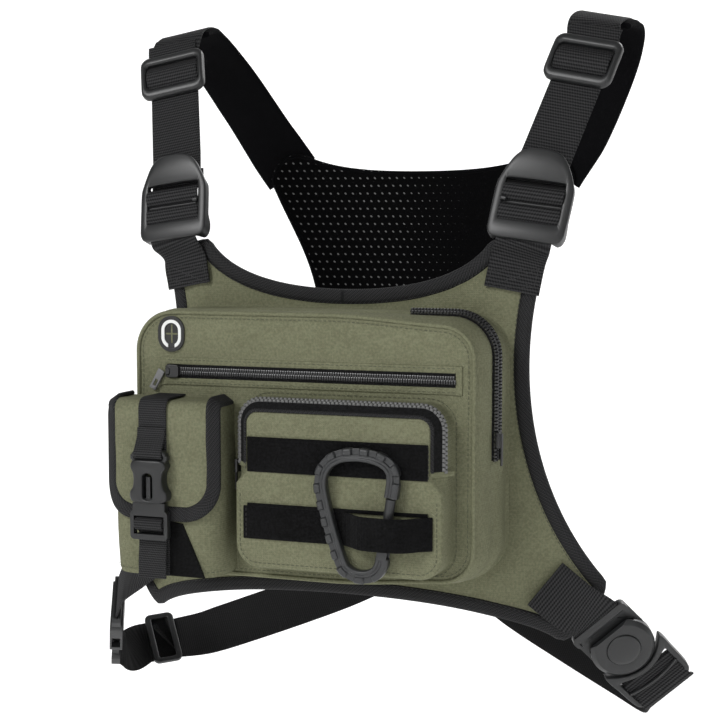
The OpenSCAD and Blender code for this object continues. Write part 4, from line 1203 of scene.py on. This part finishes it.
def shoulder(side):
    """One shoulder: anchor, ladder lock and its webbing, adjusting strap, tri-glide, neoprene band."""
    m = (lambda pts: pts) if side == "right" else mirror_x
    lock, glide = "ladder_lock_" + side, "tri_glide_" + side

    def at_lock(a, b, depth):
        return m([PIVOT + a * LOCK_SIDE - depth * LOCK_BACK + b * LOCK_UP])[0]

    def at_glide(a, b, depth):
        return m([GLIDE_AT + a * STRAP_SIDE - depth * GLIDE_BACK + b * GLIDE_UP])[0]

    patch_side = unit(0.983, 0.18, 0)
    route = (spots((121.5, -100.7, 60), (123.4, -100.5, 70), (126.0, -100.2, 82))
             + lock_spots((-3.0, -7), (-3.3, -1.5), (-2.6, 2.4), (0, 3.5), (2.8, 2.2), (3.4, -0.8)))
    sides = [patch_side] * 3 + [LOCK_SIDE] * 6
    strap("anchor_webbing_" + side, m(route), m(sides), WEB_W, WEB_T, WEBBING, "vest",
          ("shoulder_anchor_" + side,))
    box = [vec(121.0, -101.9, 62.5) + patch_side * a + vec(0.25, 0.04, 1) * b
           for a, b in ((-16, 0), (16, 0), (16, 12), (-16, 12), (-16, 0), (16, 12), (16, 0), (-16, 12))]
    line = []
    for a, b in zip(box, box[1:]):
        line += [a.lerp(b, i / 10) for i in range(11)]
    stitches("anchor_stitch_" + side, m(line), FRONT, "vest", DARK_THREAD, pitch=2.9)

    finish_piece(lock_frame("lock_body_" + side, at_lock), PLASTIC, lock, (lock,), 50)
    bars = (("pivot_bar", (-21.5, 0, 0), (21.5, 0, 0), 2.0),
            ("middle_bar", (-21.5, 20.4, 3.4), (21.5, 20.4, 3.4), 1.7),
            ("nub", (-20.8, 21.5, 8.0), (-17.6, 21.2, 8.3), 1.7))
    for label, a, b, radius in bars:
        bar(f"lock_{label}_{side}", at_lock(*a), at_lock(*b), radius, PLASTIC, lock)
    route = lock_spots((-0.6, 48), (-0.2, 41), (0.2, 37), (-2.6, 34), (-6.6, 32.4), (-8.8, 29.6), (-8.9, 26),
                       (-7.4, 22.8), (-2.4, 21), (-2.2, 19.4), (-6.4, 17.8), (-7.6, 15), (-7.5, 11.5),
                       (-6.2, 8.6), (-5.4, 5), (-5.2, 2))
    strap("lock_webbing_" + side, m(route), m([LOCK_SIDE])[0], 43.0, WEB_T, WEBBING, lock,
          ("lock_web_" + side,))

    start = lock_spots((-1.3, 47))[0]
    rise = GLIDE_AT - start
    route = ([start + rise * t for t in (0, 0.16, 0.36, 0.58, 0.8, 1)] + glide_spots((0, 17))
             + spots((162.0, -32.5, 245.6), (163.4, -22, 251.4), (164.6, -8, 254.2), (165.4, 3, 254.6)))
    lean = (STRAP_SIDE - STRAP_SIDE.dot(rise.normalized()) * rise.normalized()).normalized()
    sides = [LOCK_SIDE.lerp(lean, 0.5), lean, lean, lean, lean] + [STRAP_SIDE] * 6
    strap("adjusting_strap_" + side, m(route), m(sides), WEB_W, WEB_T, WEBBING,
          (lock, "vest", m([start])[0], m(glide_spots((0, -30)))[0]), ("shoulder_web_" + side,))

    obj = glide_frame("glide_frame_" + side, at_glide, 25.2, 18.6, 20.7, 10.8, 7.4, 2.0, 2.2)
    finish_piece(obj, PLASTIC, glide, (glide,), 50)
    rise = [(-1.4, -13), (-1.9, -10.5), (-4.2, -7.4), (-6.3, -3.6), (-6.9, 0)]
    route = glide_spots(*rise, *[(y, -z) for y, z in reversed(rise[:-1])])
    strap("glide_webbing_" + side, m(route), m([STRAP_SIDE])[0], 40.8, 1.5, WEBBING, glide,
          ("glide_web_" + side,))
    tip = glide_spots((-3.0, 13), (-3.6, 18), (-3.3, 24), (-2.6, 28.5))
    strap("folded_tip_" + side, m(tip), m([STRAP_SIDE.lerp(GLIDE_UP, 0.06)])[0], WEB_W, 1.5, WEBBING, glide)

    band = spots((164, -22, 247.6), (165.4, -12, 251.2), (166.6, 2, 252), (166, 20, 246.6), (158, 41, 228),
                 (144, 58, 200), (129, 69.5, 172), (112, 75.4, 146))
    end_side = vec(0.86, -0.25, 0.42)
    sides = [STRAP_SIDE.lerp(end_side, max(0, i - 2) / 5) for i in range(8)]
    obj = strap("neoprene_band_" + side, m(band), m(sides), 46, 4.2, NEOPRENE, "vest",
                ("shoulder_pad_" + side,), rib=0, soft=0.6)
    for along in (0.15, 0.75):
        spot, across = band[-1].lerp(band[-2], along), sides[-1]
        row = [spot + across * (i - 10) * 2.0 + vec(0.5, 2.5, 0.2) for i in range(21)]
        stitches(f"band_stitch_{side}_{round(100 * along)}", m(row), vec(0, 1, 0), "vest", DARK_THREAD)


# ---------------------------------------------------------------- back panel
BACK_BOW = 1100.0


def back_y(x):
    """The depth of the back panel's rear face, which bows forward at the sides."""
    return 84 - x * x / BACK_BOW


BACK_RIGHT = (bezier((0, 147), (46, 147), (76, 150), (98, 160), 14)
              + bezier((98, 160), (112, 166), (126, 154), (127, 140), 6, 1)
              + bezier((127, 140), (112, 102), (96, 84), (88, 40), 12, 1)
              + bezier((88, 40), (78, -20), (44, -60), (40, -130), 14, 1)
              + [(39, -150), (37, -174), (32, -181), (0, -182)])
BACK = mirrored_outline(BACK_RIGHT)


def back_panel():
    obj = sheet_solid("back_panel_neoprene", BACK,
                      lambda x, z: back_y(x) - 4 - 0.5 * ripple(x, z, 0.03, 20.0),
                      lambda x, z: back_y(x) + 0.4 * ripple(x, z, 0.03, 21.0), 7.0)
    finish_piece(obj, PERFORATED, "vest", ("back_panel",), 50)
    loop = inset(BACK, 1.6)
    pts = [vec(x, back_y(x) - 2, z) for x, z in loop]
    line = even_line(pts + [pts[0]], 3.2)[:-1]
    sides = edge_sides(line, lambda x: -2 * x / BACK_BOW)
    edge = sweep("back_panel_edge", line, sides, section(4.6, 5.2, 2, 4), closed=True)
    finish_piece(edge, NEOPRENE, "vest", (), 180)


# ---------------------------------------------------------------- waist
BASE_AT = vec(193.5, -62, -190)
BASE_ALONG = unit(39, 39, -51)
BASE_SIDE = unit(0.738, 0.127, 0.663)
BASE_OUT = BASE_ALONG.cross(BASE_SIDE).normalized()
LEFT_AT = vec(-220, -36, -212)
LEFT_ALONG = unit(-29, 50, -62)
LEFT_OUT = unit(-0.89, -0.44, 0.06)
LEFT_SIDE = -LEFT_OUT.cross(LEFT_ALONG).normalized()


def base_spots(*pairs):
    return [BASE_AT + x * BASE_ALONG + z * BASE_OUT for x, z in pairs]


def left_spots(*pairs):
    return [LEFT_AT + x * LEFT_ALONG + z * LEFT_OUT for x, z in pairs]


def at_base(a, b, depth):
    return BASE_AT + b * BASE_ALONG + depth * BASE_OUT + a * BASE_SIDE


def waist_anchors():
    """The webbing sewn to the panel's lower wings, into the two fixed buckle halves."""
    panel_side = unit(0.6, 0.3, 0.7)
    route = (spots((146, -96.2, -142), (156.5, -92.4, -151.4), (166.6, -87, -160.4))
             + base_spots((-33, 0.2), (-24, 0.2)))
    sides = [panel_side.lerp(BASE_SIDE, t) for t in (0, 0.25, 0.6, 1, 1)]
    strap("waist_webbing_right", route, sides, WEB_W, WEB_T, WEBBING, "vest",
          ("waist_anchor_right",))
    route = (spots((-150, -96.6, -136), (-164, -90.2, -145), (-180, -80.8, -157), (-196, -67, -172))
             + left_spots((-31, 0), (-24, 0)))
    sides = spots((-0.62, 0.1, 0.78), (-0.5, 0.1, 0.8), (-0.3, 0.2, 0.9)) + [LEFT_SIDE] * 3
    strap("waist_webbing_left", route, sides, WEB_W, WEB_T, WEBBING, "vest",
          ("waist_anchor_left",))


def waist_buckles():
    """The right buckle's base, button and tongue, and the left buckle's halves and glide."""
    soften("waist_base_right", "vest", PLASTIC, 0.7)
    soften("waist_button_right", "waist_button_right", PLASTIC, 0.6)

    outer = [(0, 51.8), (13, 51.8), (20, 51), (23.6, 47.5), (24.6, 40), (25, 28), (25.6, 17), (24.8, 11.5),
             (22, 13.4), (17.5, 17.6), (10, 22.3), (0, 24.6)]
    inner = [(0, 47.6), (12, 47.6), (18.6, 47.2), (20.4, 45.4), (20.6, 40), (20.8, 31), (21, 25),
             (20.6, 22.8), (18.6, 23), (15, 24.6), (9, 27), (0, 28.4)]
    obj = ring_piece("tongue_frame_right", outer, inner, lambda a, b: 3.2, lambda a, b: -3.8, at_base, 1.2)
    finish_piece(obj, PLASTIC, "waist_tongue_right", ("waist_tongue_right",), 50)
    rung = [at_base(a, 36.6 - 3.2 * (a / 21) ** 2 + 1.6, 2.6) for a in (-21, -14, -7, 0, 7, 14, 21)]
    rung = sweep("tongue_rung_right", even_line(rung, 2), BASE_OUT, section(2.4, 1.8, 2, 3))
    finish_piece(rung, PLASTIC, "waist_tongue_right")
    blade = [at_base(0, b, -0.4) for b in (-9, 2, 14, 26)]
    blade = sweep("tongue_blade_right", blade, BASE_SIDE, section(20.4, 2.4, 4, 3))
    finish_piece(blade, PLASTIC, "waist_tongue_right")
    soften("waist_female_left", "vest", PLASTIC, 0.8)
    soften("waist_male_left", "waist_male_left", PLASTIC, 0.6)
    soften("waist_glide_left", "waist_glide_left", PLASTIC, 0.8)

    fold = base_spots((60, -5.4), (55.6, -1.6), (53, 2.6), (49.6, 3.2), (46, 1.2), (41, 0.4), (35, 0.2),
                      (29.5, 0), (27.4, -1.8))
    strap("tongue_webbing_right", fold, BASE_SIDE, 42.4, 1.5, WEBBING, "waist_tongue_right")


def waist_straps():
    """The two straps that run round the back, sewn to the back panel's foot."""
    free, end = vec(0.4, 0.1, 0.9), vec(0.5, 0, 0.86)
    route = (base_spots((31, -5.6), (44, -6.2), (56, -9))
             + spots((213, -6, -236), (200, 14, -240), (178, 32, -236), (130, 60, -222), (84, 78, -204),
                     (50, 84.6, -184), (15, 85.9, -163)))
    sides = [BASE_SIDE.lerp(free, t) for t in (0, 0, 0, 0.4, 0.8)] + [free.lerp(end, i / 4) for i in range(5)]
    strap("waist_strap_band_right", route, sides, WEB_W, WEB_T, SOFT_WEB,
          ("waist_tongue_right", "vest", *base_spots((44, -7), (90, -30))),
          ("waist_strap_right",), rib=1.9, depth=0.08)

    glide_at, along, glide_side = vec(-208, 20, -243), unit(42, 32, 5), unit(-0.5, 0.55, 0.67)
    route = (left_spots((30, 0.4), (37, -1.2), (44, -4.4), (49, -9.4))
             + [glide_at + t * along for t in (-18, -8, 0, 12, 34)]
             + spots((-167, 48.5, -235.6), (-148, 57, -229), (-104, 76, -213), (-64, 84.2, -196),
                     (-18, 85.8, -172)))
    free, end = vec(-0.1, 0.35, 0.92), vec(-0.42, 0, 0.9)
    sides = ([LEFT_SIDE.lerp(glide_side, t) for t in (0, 0.3, 0.7, 1, 1, 1, 1, 1)]
             + [glide_side.lerp(free, t) for t in (0.4, 0.8, 1)] + [free.lerp(end, t) for t in (0.4, 0.8, 1)])
    strap("waist_strap_band_left", route, sides, WEB_W, WEB_T, SOFT_WEB,
          ("waist_male_left", "vest", *left_spots((29, 0), (58, -20))), ("waist_strap_left",),
          rib=1.9, depth=0.08)
    for x0, x1, z, slope, label in ((17, 37, -164, -0.58, "right"), (-20, -40, -173, 0.47, "left")):
        for up in (-12, 12):
            row = [vec(x, 87.0, z + slope * abs(x - x0) * (1 if x0 > 0 else -1) + up)
                   for x in (x0 + (x1 - x0) * i / 20 for i in range(21))]
            stitches(f"waist_end_stitch_{label}_{'upper' if up > 0 else 'lower'}", row, vec(0, 1, 0), "vest",
                     DARK_THREAD)


# ---------------------------------------------------------------- small hard parts
def hard_parts():
    soften("front_zip_slider", "front_zip_slider", DARK_PLASTIC, 0.5)
    soften("front_zip_pull", "front_zip_pull", PULL, 0.4)
    soften("main_zip_slider", "main_zip_slider", DARK_PLASTIC, 0.5)
    soften("small_zip_slider", "small_zip_slider", DARK_PLASTIC, 0.4)
    soften("earphone_port", "vest", RUBBER, 0.4)
    soften("earphone_ring", "vest", WHITE, 0.25)


# ---------------------------------------------------------------- stage
def stage():
    low = cad_box[0][2]
    size = 4.0
    me = bpy.data.meshes.new("floor")
    rise = [(1.2, -0.03), (1.7, 0.06), (2.0, 0.4), (2.1, 1.2), (2.1, 4.0)]
    rows = [(-2.4 - y, low + z) for y, z in reversed(rise)] + [(y, low + z) for y, z in rise]
    points = [(x, y, z) for y, z in rows for x in (-size, size)]
    me.from_pydata(points, [], grid_faces(len(rows), 2))
    me.shade_smooth()
    paper = plain("floor_paper", (0.9, 0.9, 0.9), 0.9)
    shader = paper.node_tree.nodes["Principled BSDF"]
    shader.inputs["Emission Color"].default_value = (1, 1, 1, 1)
    shader.inputs["Emission Strength"].default_value = 0.45
    me.materials.append(paper)
    new_object("floor", me)


def lights():

    world = bpy.data.worlds.new("studio")
    bpy.context.scene.world = world
    world.use_nodes = True
    world.node_tree.nodes["Background"].inputs[0].default_value = (1, 1, 1, 1)
    world.node_tree.nodes["Background"].inputs[1].default_value = 0.26
    for name, spot, power, width in (("key", (-0.9, -2.0, 1.5), 32, 0.8), ("fill", (1.9, -1.2, 0.4), 3, 1.2),
                                     ("rim", (0.8, 1.4, 1.5), 16, 0.8)):
        lamp = bpy.data.lights.new(name, "AREA")
        lamp.energy = power
        lamp.size = width
        obj = new_object(name, lamp)
        obj.location = spot
        obj.rotation_euler = (Vector((0, 0, -0.02)) - Vector(spot)).to_track_quat("-Z", "Y").to_euler()


def view():
    azimuth, elevation, distance = math.radians(20), math.radians(5), 1.24
    target = Vector((-0.025, 0, 0))
    back = Vector((math.sin(azimuth) * math.cos(elevation), -math.cos(azimuth) * math.cos(elevation),
                   math.sin(elevation)))
    lens = bpy.data.cameras.new("camera")
    lens.lens = 80
    lens.sensor_width = 36
    camera = new_object("camera", lens)
    camera.location = target + back * distance
    camera.rotation_euler = (-back).to_track_quat("-Z", "Y").to_euler()
    bpy.context.scene.camera = camera
    bpy.context.scene.view_settings.view_transform = "Standard"


front_panel()
main_pocket()
front_zip()
small_pocket()
loop_straps()
carabiner()
pouch_body()
pouch_flap()
pouch_webbing()
for which in ("right", "left"):
    shoulder(which)
back_panel()
waist_anchors()
waist_buckles()
waist_straps()
hard_parts()
stage()
lights()
view()
